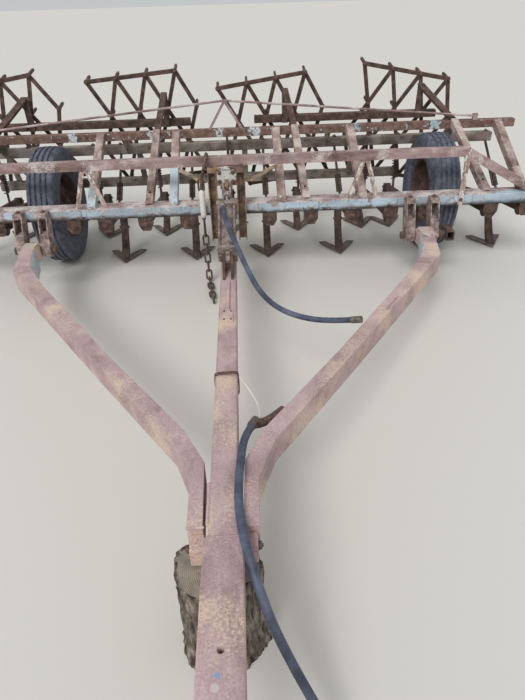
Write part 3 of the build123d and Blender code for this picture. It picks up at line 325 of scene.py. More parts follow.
FINISH = {
    # The front beam's lower edge, at 442 mm, gets painted shade; its coat also wears off there first.
    "front_beam": weathered_steel(
        "worn_blue_beam_steel", "#c6b4b2", "#a99592", "#795f56", coat="#bcd0dd", coat_aged="#a3b0ba",
        coat_left=0.55, coat_on_top=-0.1, coat_foot=442, cloud=55, stretch=(0.6, 1, 1), speckle="#dcd4d0",
        speckled=0.54, coat_spots=(((1850, 0, 480), (260, 60, 60), 0.3),)),
    "rear_beam": weathered_steel(
        "patched_beam_steel", "#94786e", "#795e53", "#584239", coat="#cdd6d8", coat_aged="#a9c3cd",
        coat_left=0.38, coat_on_top=0.9, cloud=50,
        coat_spots=[((x, 560, 780), (half, 90, 60), firm) for x, half, firm in REAR_PATCHES]),
    "bars": weathered_steel(
        "pink_rust_bar_steel", "#b6a29b", "#99817a", "#70594f", coat="#c0d0da", coat_aged="#b4c2c8",
        coat_left=0.39, coat_on_top=0.9, cloud=60, stretch=(1, 0.5, 1), speckle="#cfc0b7",
        coat_spots=(((-328, 180, 590), (60, 260, 130), 0.21), ((-820, 90, 550), (60, 130, 90), 0.16))),
    "post": weathered_steel(
        "streaked_post_steel", "#c6b5aa", "#a58f83", "#6f5c51", coat="#dcd9d4", coat_left=0.46,
        coat_on_top=0.9, cloud=40, stretch=(1, 1, 0.4), speckle="#cbb29f"),
    "mud": weathered_steel(
        "dried_mud", "#8f7d75", "#6c5b54", "#463b37", cloud=16, grain=3, roughness=0.95, depth=1.0),
    "brace": weathered_steel(
        "yellow_brace_steel", "#bda787", "#9d8669", "#6b5642", cloud=50, speckle="#d3c2a4"),
    "chord": weathered_steel(
        "chord_rust_steel", "#b29a98", "#967d7a", "#6b544e", cloud=70, stretch=(0.4, 1, 1), speckle="#dad0cc",
        speckled=0.47),
    "tower": weathered_steel(
        "brown_tower_steel", "#8d786b", "#6a564b", "#483932", coat="#cdcac4", coat_left=0.3, coat_on_top=1.0,
        coat_spots=(((0, -30, 690), (64, 30, 62), 0.3),), cloud=45, speckle="#a3866b", speckled=0.52),
    "press": weathered_steel(
        "grey_brown_steel", "#8f8279", "#75685f", "#544a44", cloud=60, stretch=(0.5, 1, 1), speckle="#a79c94",
        speckled=0.53),
    "dark": weathered_steel("dark_rust_steel", "#765f54", "#58463e", "#382d29", cloud=45, grain=4, depth=0.9),
    "ear": weathered_steel(
        "crusted_ear_steel", "#a7948e", "#85726c", "#564842", cloud=26, speckle="#bcaca5", depth=0.9),
    "harrow": weathered_steel(
        "harrow_rust_steel", "#735b50", "#58453c", "#3b2f2a", cloud=40, grain=4, depth=0.8),
    "share": weathered_steel("soil_worn_steel", "#8f8177", "#6e5e54", "#4d4039", cloud=60, roughness=0.6),
    "drawbar": weathered_steel(
        "drawbar_rust_steel", "#cbb0b0", "#b79c9e", "#99807f", coat="#d9cec4", coat_aged="#c3b3aa",
        coat_left=0.27, coat_on_top=1.0, cloud=120, stretch=(1, 0.6, 1), speckle="#dcc4ac", roughness=0.68,
        coat_spots=(((1172, -215, 360), (60, 120, 60), 0.26), ((-1172, -205, 360), (50, 90, 60), 0.26)),
        dots=(((-7, -2608, 479), 10, "#7f9fc4"), ((-33, -2614, 479), 7, "#8d7fa8"),
              ((-10, -2632, 479), 12, "#cfc1bd"))),
    "patch": weathered_steel(
        "first_paint_steel", "#b3a49c", "#93807a", "#665550", coat="#b6bfcb", coat_aged="#c9ced3",
        coat_left=0.6, coat_on_top=1.0, cloud=60),
    "bolt": weathered_steel("bolt_rust_steel", "#84695f", "#664e46", "#43352f", cloud=14, grain=3),
    "cylinder": weathered_steel(
        "cylinder_worn_steel", "#a9968f", "#86726b", "#5a4a44", coat="#97989a", coat_left=0.43,
        coat_on_top=1.0, cloud=40),
    "white_wrap": weathered_steel(
        "white_worn_sleeve", "#a98a78", "#8a6a58", "#5d463a", coat="#dedcd4", coat_left=0.74, coat_on_top=1.0,
        cloud=30, depth=0.3),
}
print("weathered finishes", len(FINISH))

# %% [markdown]
# The rest of the finishes are not rust. Tyre rubber is carbon black with the field's dust in it. Hose
# rubber is smoother and a little blue. The cylinder's rod is hard chrome, which stays bright where it wipes
# through its seal. The stump's top is sawn end grain, gone grey, and its side is furrowed bark. At scale 1 a
# wave texture's rings are 2 pi / 20 apart and its slanted bands 2 pi / 10, so their scales carry that.

# %% Rubber, chrome, wood and string
RING_SHARE = 2 * pi / 20
BAND_SHARE = 2 * pi / 10
STUMP_X = -25
STUMP_Y = -2300
HEART = (14, -8)


def dusty_rubber(name, clean, dusty, dust_size, roughness):
    """Rubber with dust in broad clouds and a fine grain."""
    finish, tree, shader, coords = new_finish(name, roughness)
    colour = shaded(tree, mottle(tree, coords, dust_size, 6, 0.65), ((0.38, clean), (0.72, dusty)))
    cover(tree, shader, colour, mottle(tree, coords, 3, 3), 0.35, 0.0006)
    return finish


def bright_metal(name, colour, roughness, stain):
    """Bare metal with dull stains."""
    finish, tree, shader, coords = new_finish(name, roughness, metallic=1.0)
    marks = mottle(tree, coords, 18, 6)
    dull = ranged(tree, marks, 0, 1, roughness * 0.6, roughness * 1.7)
    tree.links.new(shaded(tree, marks, ((0.42, colour), (0.7, stain))), shader.inputs["Base Color"])
    tree.links.new(dull, shader.inputs["Roughness"])
    return finish


def end_grain(name):
    """Sawn wood across the grain: rings about 5 mm apart, and a grey weathered skin."""
    finish, tree, shader, coords = new_finish(name, 0.85)
    heart = at(STUMP_X + HEART[0], STUMP_Y + HEART[1], 0)
    centred = scaled(tree, coords, (1, 1, 0.02), (-heart.x, -heart.y, 0))
    rings = add(tree, "ShaderNodeTexWave", {
        "Vector": centred, "wave_type": "RINGS", "rings_direction": "Z", "Scale": every(5) * RING_SHARE,
        "Distortion": 3.4, "Detail": 3, "Detail Scale": 0.7}).outputs["Fac"]
    ringed = shaded(tree, rings, ((0.1, "#7c7064"), (0.8, "#a3988a")))
    aged = shaded(tree, mottle(tree, coords, 40, 5), ((0.35, "#6f6a63"), (0.65, "#aba296")))
    cover(tree, shader, tinted(tree, 0.45, ringed, aged), rings, 0.5, 0.002)
    return finish


def furrowed_bark(name):
    """Bark whose furrows run up the trunk, grey on the ridges and brown in the cracks."""
    finish, tree, shader, coords = new_finish(name, 0.95)
    furrow = mottle(tree, scaled(tree, coords, (1, 1, 0.22)), 16, 7, 0.66)
    colour = shaded(tree, furrow, ((0.38, "#2f2620"), (0.5, "#665a50"), (0.66, "#a39a91")))
    cover(tree, shader, colour, furrow, 0.9, 0.006)
    return finish


def twisted_string(name):
    """White plastic twine: its strands cross it on a slant every few millimetres."""
    finish, tree, shader, coords = new_finish(name, 0.6)
    strands = add(tree, "ShaderNodeTexWave", {"Vector": coords, "bands_direction": "DIAGONAL",
                                              "Scale": every(6) * BAND_SHARE, "Distortion": 1.0})
    colour = shaded(tree, strands.outputs["Fac"], ((0.2, "#c9c6bb"), (0.8, "#f0ede4")))
    tree.links.new(colour, shader.inputs["Base Color"])
    return finish


FINISH["tyre"] = dusty_rubber("tyre_rubber", "#454a57", "#767b88", 30, 0.74)
FINISH["hose"] = dusty_rubber("hose_rubber", "#343b4c", "#626b80", 70, 0.55)
FINISH["chrome"] = bright_metal("hard_chrome", "#d6d6d4", 0.2, "#9a928a")
FINISH["fitting"] = bright_metal("plated_fitting_steel", "#8f8a80", 0.42, "#6b5544")
FINISH["rim"] = weathered_steel("rim_rust_steel", "#6f5348", "#523e37", "#362a27", cloud=60, roughness=0.75)
FINISH["wood_top"] = end_grain("sawn_end_grain")
FINISH["bark"] = furrowed_bark("furrowed_bark")
FINISH["string"] = twisted_string("white_twine")
print("finishes", len(FINISH))

# %% [markdown]
# The solids that stay as they are get their finish here. Their edges are dead sharp, while rolled steel has
# a small radius that catches the light. The solids' meshes must not change, so two modifiers do that:
# Weld joins the loose triangles, and Bevel rounds every edge that turns by more than 32 degrees.

# %% Finishes of the solids
FINISHED = {
    "front_beam": "front_beam", "rear_beam": "rear_beam", "press": "press_beam lower_bar",
    "bars": "longitudinals carriers", "chord": "truss_chord stay", "post": "truss_posts", "tower": "tower",
    "brace": "tower_braces", "ear": "hinge_ears", "bolt": "hinge_pins", "share": "sweeps",
    "dark": "side_stub gang_hinges short_gangs long_gangs standards press_rods press_springs turnbuckle "
            "chain hitch_eye cylinder_ears",
    "harrow": "carrier_legs carrier_bars harrow_frames harrow_teeth wheel_arms",
    "drawbar": "left_arm right_arm centre_beam tongue lower_brackets strap", "bark": "stump",
    "fitting": "hose_fittings hose_coupling", "hose": "cylinder_hose tongue_hose",
    "cylinder": "cylinder_barrel", "chrome": "cylinder_rod", "tyre": "left_tyre right_tyre",
    "rim": "left_rim right_rim",
}
ROUNDED = {
    5: "left_arm right_arm centre_beam tongue",
    4: "front_beam rear_beam press_beam longitudinals carriers carrier_bars",
    3: "hinge_ears wheel_arms lower_brackets hitch_eye",
    2: "truss_chord tower short_gangs long_gangs standards carrier_legs lower_bar harrow_frames side_stub "
       "cylinder_ears",
    1.5: "truss_posts tower_braces gang_hinges sweeps strap",
}
WELD_REACH = 0.00002
SHARP = 32

for finish, names in FINISHED.items():
    for name in names.split():
        for place in nodes[name].material_slots:
            place.material = FINISH[finish]
for radius, names in ROUNDED.items():
    for name in names.split():
        weld = nodes[name].modifiers.new("weld", "WELD")
        weld.merge_threshold = WELD_REACH
        edge = nodes[name].modifiers.new("edge", "BEVEL")
        edge.width = radius / 1000
        edge.segments = 2
        edge.limit_method = "ANGLE"
        edge.angle_limit = radians(SHARP)
print("solids with a finish", sum(len(names.split()) for names in FINISHED.values()), "of", len(nodes))

# %% [markdown]
# ## Hoses
#
# Two rubber pressure hoses, 25 mm thick, lie over the drawbar. Each is one smooth NURBS line through its
# route, which are the same points that its solid follows. The first leaves the cylinder and crosses to the
# right arm. The cylinder swings on its base pin while the arm doesn't; this hose is made a plain mesh that
# rides on no body. The second runs along the tongue to the stump and drops to the floor, and stays a curve.

# %% Hose routes and curves
HOSE_R = 0.0125
CYLINDER_HOSE = ((-20, -352, 617), (-12, -432, 606), (6, -522, 586), (32, -612, 556), (66, -712, 512),
                 (104, -832, 468), (152, -962, 430), (226, -1066, 404), (330, -1136, 394), (438, -1186, 404),
                 (526, -1232, 434))
TONGUE_HOSE = ((84, -1866, 456), (62, -1926, 472.7), (51, -2000, 474.7), (44, -2078, 477.7),
               (41, -2152, 480.7), (44, -2222, 484.7), (53, -2290, 487.7), (67, -2350, 476.7),
               (86, -2402, 438), (110, -2446, 372), (146, -2488, 290), (194, -2540, 200), (254, -2606, 112),
               (316, -2684, 48), (352, -2768, 16), (364, -2850, 14))


def smooth_line(name, route, radius):
    """A curve object along the route, as one NURBS spline with that bevel radius."""
    data = bpy.data.curves.new(name, "CURVE")
    data.dimensions = "3D"
    spline = data.splines.new("NURBS")
    spline.points.add(len(route) - 1)
    for point, place in zip(spline.points, route):
        point.co = (*at(*place), 1)
    spline.order_u = 3
    spline.use_endpoint_u = True
    data.resolution_u = 10
    data.bevel_depth = radius
    data.bevel_resolution = 5
    data.use_fill_caps = True
    return new_object(name, data)


def evaluated_mesh(curve):
    """A new mesh of the curve as it is now."""
    bpy.context.view_layer.update()
    return bpy.data.meshes.new_from_object(curve.evaluated_get(bpy.context.evaluated_depsgraph_get()))


def line_points(curve):
    """The points of a curve's own line, and their length."""
    depth = curve.data.bevel_depth
    curve.data.bevel_depth = 0
    mesh = evaluated_mesh(curve)
    curve.data.bevel_depth = depth
    points = [v.co.copy() for v in mesh.vertices]
    bpy.data.meshes.remove(mesh)
    return points, sum((b - a).length for a, b in zip(points, points[1:]))


def dress(piece, finish, body):
    """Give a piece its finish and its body."""
    piece.data.materials.append(FINISH[finish])
    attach(piece, body)


tongue_hose = smooth_line("tongue_pressure_hose", TONGUE_HOSE, HOSE_R)
_, tongue_length = line_points(tongue_hose)
dress(tongue_hose, "hose", "drawbar")
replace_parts(tongue_hose, "tongue_hose")

route_curve = smooth_line("cylinder_hose_line", CYLINDER_HOSE, HOSE_R)
cylinder_points, cylinder_length = line_points(route_curve)
hose_mesh = evaluated_mesh(route_curve)
bpy.data.objects.remove(route_curve)
hose_mesh.materials.clear()
hose_mesh.materials.append(FINISH["hose"])
hose_mesh.shade_smooth()
cylinder_hose = new_object("cylinder_pressure_hose", hose_mesh)
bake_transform(cylinder_hose)
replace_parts(cylinder_hose, "cylinder_hose")
print("hose lengths", round(cylinder_length, 3), round(tongue_length, 3))

# %% [markdown]
# ## Pieces
#
# New pieces are shaped in a bmesh in the drawing's millimetres. One function turns a finished bmesh into an
# object at the origin, with smooth shading that breaks at its real edges, and lets it ride on its body.
# Pieces of the drawbar are drawn level and then lifted with it. Four more functions are the steps that
# nearly all shapes share.

# %% From a bmesh to a piece
SMOOTH_UNDER = 38


def as_piece(bm, name, finish, body, lifted=False):
    """The bmesh as an object that rides on its body."""
    place = Matrix.Translation((0, MIDDLE_Y / 1000, 0)) @ Matrix.Scale(0.001, 4)
    if lifted:
        place = drawbar_matrix() @ place
    bmesh.ops.transform(bm, matrix=place, verts=bm.verts)
    mesh = bpy.data.meshes.new(name)
    bm.to_mesh(mesh)
    bm.free()
    mesh.shade_smooth()
    mesh.set_sharp_from_angle(angle=radians(SMOOTH_UNDER))
    for one in (finish,) if isinstance(finish, str) else finish:
        mesh.materials.append(FINISH[one])
    piece = new_object(name, mesh)
    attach(piece, body)
    print(name, "faces", len(mesh.polygons))
    return piece


def shift(x, y, z):
    """A move, as a matrix."""
    return Matrix.Translation((x, y, z))


def lathe(bm, segments, bottom, top, depth, matrix):
    """A capped rod or cone along the matrix's Z axis, with its middle there."""
    bmesh.ops.create_cone(bm, cap_ends=True, segments=segments, radius1=bottom, radius2=top, depth=depth,
                          matrix=matrix)


def soften(bm, edges, width, segments=2, clamp=False):
    """Round those edges."""
    bmesh.ops.bevel(bm, geom=edges, offset=width, offset_type="OFFSET", segments=segments, profile=0.5,
                    affect="EDGES", material=-1, clamp_overlap=clamp)


def close_up(bm):
    """Join the points that meet, and turn all faces outwards."""
    bmesh.ops.remove_doubles(bm, verts=bm.verts, dist=0.01)
    bmesh.ops.recalc_face_normals(bm, faces=bm.faces)


# %% [markdown]
# A tyre is a body of revolution, so its cross section is drawn once and spun round the axle. The section's
# tread has five ribs between four straight grooves, as steered and towed wheels have. The groove edges are
# bevelled after the spin, because worn rubber has no sharp edges.

# %% Tyres
WHEEL_Y = 482
TYRE_R = 376
WHEELS = (("left", -1165), ("right", 1390))
TYRE_WALL = ((57, 206), (62, 214), (74, 226), (80, 229), (85, 243), (90, 262), (92.4, 285), (91.5, 306),
             (93, 311), (90, 330), (86, 345), (79, 360), (69, 369))
TREAD_HALF = 69
TREAD_CROWN = 4
GROOVES = (-49, -17, 17, 49)
GROOVE_STEPS = ((-7.5, 0), (-5, 12), (5, 12), (7.5, 0))
TYRE_STEPS = 84


def spun(outline, steps):
    """A closed outline of X and radius, spun all the way round the X axis."""
    bm = bmesh.new()
    corners = [bm.verts.new((x, 0, r)) for x, r in outline]
    edges = [bm.edges.new((a, b)) for a, b in zip(corners, corners[1:] + corners[:1])]
    bmesh.ops.spin(bm, geom=corners + edges, cent=(0, 0, 0), axis=(1, 0, 0), angle=2 * pi, steps=steps,
                   use_merge=True)
    close_up(bm)
    return bm


def round_rings(bm, angle, width):
    """Bevel the rings of a spun piece where its outline turns by more than that angle."""
    rings = [e for e in bm.edges if len(e.link_faces) == 2 and e.calc_face_angle() > radians(angle)
             and abs(e.verts[0].co.x - e.verts[1].co.x) < 0.01]
    soften(bm, rings, width, clamp=True)


def tread_line():
    """The tread's points of X and radius: a slight crown with its grooves."""
    return [(groove + step, TYRE_R - TREAD_CROWN * ((groove + step) / TREAD_HALF) ** 2 - deep)
            for groove in GROOVES for step, deep in GROOVE_STEPS]


for side, x in WHEELS:
    section = [(-u, r) for u, r in TYRE_WALL] + tread_line() + [(u, r) for u, r in reversed(TYRE_WALL)]
    tyre = spun(section, TYRE_STEPS)
    round_rings(tyre, 24, 2.2)
    bmesh.ops.translate(tyre, vec=(x, WHEEL_Y, TYRE_R), verts=tyre.verts)
    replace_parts(as_piece(tyre, f"{side}_ribbed_tyre", "tyre", f"{side}_wheel"), f"{side}_tyre")

# %% [markdown]
# The rim is pressed steel: a band with a turned-out lip each side that holds the tyre, and a deep dish welded
# into it, with the hub through its middle. It is spun from one outline too. Six wheel nuts hold the dish.

# %% Rims and wheel nuts
RIM_OUTLINE = ((-66, 214), (-66, 210), (-61, 199), (-32, 196), (-15, 192), (20, 100), (24, 90), (24, 50),
               (-54, 50), (-60, 44), (-60, 21), (60, 21), (60, 44), (54, 50), (32, 50), (32, 90), (29, 100),
               (-5, 192), (30, 196), (61, 199), (66, 210), (66, 214), (61, 213), (56, 205), (-56, 205),
               (-61, 213))
RIM_STEPS = 64
DISH_OUT = 32
NUT_CIRCLE = 69
NUT_SIZE = 11
NUTS = 6


def add_bolt(bm, x, y, z, direction, size, washer=True):
    """A six-sided head on its washer, which stands on the point in that direction."""
    place = shift(x, y, z) @ Vector(direction).to_track_quat("Z", "Y").to_matrix().to_4x4()
    base = 2.5 if washer else 0
    if washer:
        lathe(bm, 14, size * 1.35, size * 1.3, 3.5, place @ shift(0, 0, 0.75))
    lathe(bm, 6, size, size * 0.98, size * 0.55, place @ shift(0, 0, base + size * 0.275))
    lathe(bm, 6, size * 0.98, size * 0.78, size * 0.15, place @ shift(0, 0, base + size * 0.625))
    lathe(bm, 10, size * 0.5, size * 0.42, size * 0.35, place @ shift(0, 0, base + size * 0.85))


for side, x in WHEELS:
    rim = spun(RIM_OUTLINE, RIM_STEPS)
    bmesh.ops.translate(rim, vec=(x, WHEEL_Y, TYRE_R), verts=rim.verts)
    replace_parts(as_piece(rim, f"{side}_dished_rim", "rim", f"{side}_wheel"), f"{side}_rim")
    nuts = bmesh.new()
    for i in range(NUTS):
        a = radians(360 / NUTS * i + 30)
        add_bolt(nuts, x + DISH_OUT, WHEEL_Y + NUT_CIRCLE * cos(a), TYRE_R + NUT_CIRCLE * sin(a), (1, 0, 0),
                 NUT_SIZE)
    as_piece(nuts, f"{side}_wheel_nuts", "bolt", f"{side}_wheel")

# %% [markdown]
# Each gang has a press rod with a coil spring, which lets it give when its share hits a stone. A coil is a
# small circle of wire that is spun round the rod while it climbs a little with each step, which is what the
# spin operator's dvec is for. A gang's kind is 0 for a short one and 1 for a long one.

# %% Press springs
GANGS = ((-1850, 0), (-1625, 1), (-1400, 1), (-946, 1), (-754, 0), (-510, 1), (-255, 0), (0, 1), (250, 0),
         (505, 1), (760, 0), (1000, 1), (1215, 1), (1625, 1), (1850, 0))
GANG_Y = 62
GANG_HINGE_Z = 386
GANG_FALL = (386 - 262) / (915 - 62)
TAIL_Y = (470, 915)
PRESS_FOOT = (60, 150)
PRESS_FOOT_UP = 11
PRESS_HEAD_Y = 805
PRESS_HEAD_Z = 635
SPRING_START = 75
SPRING_LONG = 150
COIL_R = 17.5
COIL_WIRE = 4.5
COIL_TURNS = 8
STEPS_A_TURN = 12


def gang_height(y):
    """Height of a gang's beam at that place along the machine."""
    return GANG_HINGE_Z - GANG_FALL * (y - GANG_Y)


def wire_circle(bm, segments, radius, place):
    """A circle of wire at that place: its points and its edges."""
    wire = bmesh.ops.create_circle(bm, segments=segments, radius=radius, matrix=place)["verts"]
    return wire, list({e for v in wire for e in v.link_edges})


def add_coil(bm, start, end):
    """A coil of round wire from start to end."""
    known = set(bm.verts)
    wire, edges = wire_circle(bm, 6, COIL_WIRE, shift(COIL_R, 0, 0) @ Matrix.Rotation(pi / 2, 4, "X"))
    steps = COIL_TURNS * STEPS_A_TURN
    rise = (end - start).length - 2 * COIL_WIRE
    bmesh.ops.spin(bm, geom=wire + edges, cent=(0, 0, 0), axis=(0, 0, 1), dvec=(0, 0, rise / steps),
                   angle=2 * pi * COIL_TURNS, steps=steps)
    fresh = [v for v in bm.verts if v not in known]
    turn = (end - start).to_track_quat("Z", "Y").to_matrix().to_4x4()
    bmesh.ops.transform(bm, matrix=Matrix.Translation(start) @ turn @ shift(0, 0, COIL_WIRE), verts=fresh)


springs = bmesh.new()
for x, kind in GANGS:
    foot_y = TAIL_Y[kind] - PRESS_FOOT[kind]
    foot = Vector((x, foot_y, gang_height(foot_y) + PRESS_FOOT_UP))
    along = (Vector((x, PRESS_HEAD_Y, PRESS_HEAD_Z)) - foot).normalized()
    start = foot + along * SPRING_START
    add_coil(springs, start, start + along * SPRING_LONG)
bmesh.ops.holes_fill(springs, edges=[e for e in springs.edges if e.is_boundary], sides=8)
bmesh.ops.recalc_face_normals(springs, faces=springs.faces)
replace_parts(as_piece(springs, "press_coil_springs", "dark", "frame"), "press_springs")

# %% [markdown]
# A chain link starts as a ring, spun from a circle of wire. No point of the ring lies on its middle line, so
# its two halves can be moved apart, and the faces between them stretch into the link's straight sides. The
# links hang from the turnbuckle's eye, each a quarter turn from the last, and the rest lies on the floor.

# %% Chain and turnbuckle
CHAIN_X = -150
CHAIN_Y = -24
WIRE_R = 6
LINK_HALF = 35.856
BEND_R = 16
PITCH = 2 * LINK_HALF - 2 * WIRE_R - 0.3
LYING_LOW = 18.3
ON_EDGE_HIGH = 22
LYING_TURN = 7
FIRST_LYING = 12.3 - LINK_HALF
HANGING_LINKS = 5
LYING_LINKS = 5
EYE_Z = LYING_LOW + LINK_HALF + HANGING_LINKS * PITCH
TOP_EYE_Z = 636
ROD_LONG = 70
LOCK_NUT_Z = 434
SLEEVE = ((0, 440), (9, 440), (12, 446), (16, 452), (17.5, 470), (17, 525), (17.5, 580), (16, 598), (12, 604),
          (9, 610), (0, 610))
HOOK_ROUTE = ((-150, -24, 604), (-147, -24, 660), (-132, -24, 716), (-116, -20, 766), (-112, -6, 792),
              (-110, 30, 795), (-110, 66, 791), (-110, 84, 776))
HOOK_R = 0.009
QUARTER = Matrix.Rotation(pi / 2, 4, "Z")


def add_link(bm, place):
    """One oval link of round wire, standing on the XZ plane before it goes to its place."""
    known = set(bm.verts)
    half_step = Matrix.Rotation(pi / 16, 4, "Y")
    wire, edges = wire_circle(bm, 8, WIRE_R, half_step @ shift(BEND_R, 0, 0))
    bmesh.ops.spin(bm, geom=wire + edges, cent=(0, 0, 0), axis=(0, 1, 0), angle=2 * pi, steps=16,
                   use_merge=True)
    fresh = [v for v in bm.verts if v not in known]
    for v in fresh:
        v.co.z += (LINK_HALF - BEND_R) * (1 if v.co.z > 0 else -1)
    bmesh.ops.transform(bm, matrix=place, verts=fresh)


chain = bmesh.new()
for i in range(HANGING_LINKS):
    turned = QUARTER if i % 2 else Matrix()
    add_link(chain, shift(CHAIN_X, CHAIN_Y, EYE_Z - (i + 1) * PITCH) @ turned)
for i in range(LYING_LINKS):
    on_edge = i % 2 == 0
    lying = shift(CHAIN_X, CHAIN_Y, 0) @ Matrix.Rotation(radians(LYING_TURN), 4, "Z")
    lying = lying @ shift(0, FIRST_LYING - i * PITCH, ON_EDGE_HIGH if on_edge else LYING_LOW)
    lying = lying @ Matrix.Rotation(pi / 2, 4, "X")
    add_link(chain, lying @ QUARTER if on_edge else lying)
close_up(chain)
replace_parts(as_piece(chain, "round_link_chain", "dark", "frame"), "chain")

sleeve = bmesh.new()
line = [sleeve.verts.new((r, 0, z)) for r, z in SLEEVE]
line_edges = [sleeve.edges.new(pair) for pair in zip(line, line[1:])]
bmesh.ops.spin(sleeve, geom=line + line_edges, cent=(0, 0, 0), axis=(0, 0, 1), angle=2 * pi, steps=20,
               use_merge=True)
close_up(sleeve)
bmesh.ops.translate(sleeve, vec=(CHAIN_X, CHAIN_Y, 0), verts=sleeve.verts)
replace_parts(as_piece(sleeve, "turnbuckle_white_sleeve", "white_wrap", "frame"), "turnbuckle")

eyes = bmesh.new()
add_link(eyes, shift(CHAIN_X, CHAIN_Y, EYE_Z) @ QUARTER)
add_link(eyes, shift(CHAIN_X, CHAIN_Y, TOP_EYE_Z))
lathe(eyes, 12, 7, 7, ROD_LONG, shift(CHAIN_X, CHAIN_Y, EYE_Z + LINK_HALF + 30))
lathe(eyes, 6, 13, 13, 10, shift(CHAIN_X, CHAIN_Y, LOCK_NUT_Z))
close_up(eyes)
as_piece(eyes, "turnbuckle_eyes", "dark", "frame")
dress(smooth_line("turnbuckle_hook", HOOK_ROUTE, HOOK_R), "dark", "frame")

# %% [markdown]
# The stump is a sawn trunk, wider at its roots, cut off flat under the tongue. A unit cone with many upright
# faces is moved point by point: first to the trunk's wavy outline, then in and out with a noise that is
# stretched upwards, which makes the bark's furrows. Its top has a ring of bark round the sawn wood.

# %% Stump
STUMP_RX = 116
STUMP_RY = 96
STUMP_HIGH = 371
STUMP_STEPS = 120
STUMP_ROWS = 22
BARK_THICK = 0.09
FURROW_DEEP = 8
ROOT_HIGH = 70
TONGUE_UNDER = 0.2687


def under_tongue(y):
    """Height of the drawbar's underside at that place along the machine."""
    lifted = drawbar_matrix() @ Vector((0, (y + MIDDLE_Y) / 1000, TONGUE_UNDER))
    slope = tan(radians(-DRAWBAR_TILT))
    return lifted.z * 1000 + slope * (y + MIDDLE_Y - lifted.y * 1000)


def trunk_growth(height):
    """How much wider the trunk is at that height than at its top."""
    if height < ROOT_HIGH:
        return 1.16 - 0.12 * height / ROOT_HIGH
    return 1.04 - 0.04 * (height - ROOT_HIGH) / 320


stump = bmesh.new()
lathe(stump, STUMP_STEPS, 1, 1, 1, shift(0, 0, 0.5))
upright = [e for e in stump.edges if abs(e.verts[0].co.z - e.verts[1].co.z) > 0.5]
bmesh.ops.subdivide_edges(stump, edges=upright, cuts=STUMP_ROWS)
sawn = [f for f in stump.faces if f.normal.z > 0.9]
bmesh.ops.inset_region(stump, faces=sawn, thickness=BARK_THICK, depth=0, use_even_offset=True)
for face in sawn:
    face.material_index = 1
for v in stump.verts:
    a = atan2(v.co.y, v.co.x)
    share = hypot(v.co.x, v.co.y)
    wave = 1 + 0.05 * sin(3 * a + 0.7) + 0.03 * cos(5 * a)
    growth = trunk_growth(v.co.z * STUMP_HIGH) * wave * share
    x = STUMP_X + STUMP_RX * growth * cos(a)
    y = STUMP_Y + STUMP_RY * growth * sin(a)
    z = v.co.z * (under_tongue(y) - 0.3)
    if share > 0.95:
        furrow = noise.noise(Vector((x * 0.075, y * 0.075, z * 0.012)))
        furrow += 0.5 * noise.noise(Vector((x * 0.2, y * 0.2, z * 0.03)))
        out = FURROW_DEEP * furrow - 2
        x += cos(a) * out
        y += sin(a) * out
    v.co = (x, y, z)
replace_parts(as_piece(stump, "sawn_stump", ("bark", "wood_top"), "drawbar"), "stump")

# %% [markdown]
# Bolts hold nearly every joint of the frame. Each is a washer, a six-sided head with a chamfer and the end of
# its thread. They make three meshes, two on the frame and one on the drawbar, mostly from short tables.

# %% Bolts and nuts
CHEEK_OUT = 15.3 + 8
SHANK_OUT = 25
SHANK_BOLTS = ((19, -4, 9), (4, -125, 8))
FLANGE_Y = 4
FLANGE_BOLT_Z = 402
FLANGE_NUT_Z = 427
FLANGE_OUT = 32
PRESS_NUT_Z = 675
SIDES = (-1, 1)
FORWARD = (0, -1, 0)
UP = (0, 0, 1)
MIRRORED_BOLTS = (((1097.5, -28, 515), UP, 11), ((1242.5, -28, 515), UP, 11), ((38, -34, 655), FORWARD, 9),
                  ((38, -34, 706), FORWARD, 9), ((83, -20, 736), UP, 10), ((1420, -6, 480), FORWARD, 8))
HARROWS = ((-1530, 1085, 9), (-570, 1100, 5), (300, 1050, 8), (1290, 1060, -11))
HARROW_LEAN = 9
CARRIER_GAP = (758, 842)
CARRIER_Y = 886.3
CARRIER_Z = 824
TOOTH_SPACE = 200
ROW_SPACE = 240

frame_bolts = bmesh.new()
for x, kind in GANGS:
    tail_y = TAIL_Y[kind]
    if x:
        add_bolt(frame_bolts, x, FLANGE_Y, FLANGE_BOLT_Z, FORWARD, 15)
        for side in SIDES:
            add_bolt(frame_bolts, x + FLANGE_OUT * side, FLANGE_Y, FLANGE_NUT_Z, FORWARD, 7, washer=False)
        add_bolt(frame_bolts, x, PRESS_HEAD_Y, PRESS_NUT_Z, UP, 13)
    for side in SIDES:
        outwards = (side, 0, 0)
        add_bolt(frame_bolts, x + side * CHEEK_OUT, GANG_Y, GANG_HINGE_Z, outwards, 12)
        for y, z, size in SHANK_BOLTS:
            add_bolt(frame_bolts, x + side * SHANK_OUT, tail_y + y, gang_height(tail_y) + z, outwards, size)
for side in SIDES:
    for (x, y, z), direction, size in MIRRORED_BOLTS:
        add_bolt(frame_bolts, side * x, y, z, direction, size)
as_piece(frame_bolts, "frame_bolts", "bolt", "frame")

harrow_nuts = bmesh.new()
for x, top, tilt in HARROWS:
    lean = shift(x, CARRIER_Y + (CARRIER_Z - top) * tan(radians(HARROW_LEAN)), top)
    lean = lean @ Matrix.Rotation(radians(90 + HARROW_LEAN), 4, "X") @ Matrix.Rotation(radians(tilt), 4, "Z")
    facing = lean.to_3x3() @ Vector(UP)
    for row in range(4):
        for i in range(4):
            across = (i - 1.5) * TOOTH_SPACE + (50 if row % 2 else -50)
            place = lean @ Vector((across, -ROW_SPACE * row, 0))
            if not CARRIER_GAP[0] < place.z < CARRIER_GAP[1]:
                add_bolt(harrow_nuts, *place, facing, 12)
as_piece(harrow_nuts, "harrow_tooth_nuts", "bolt", "frame")

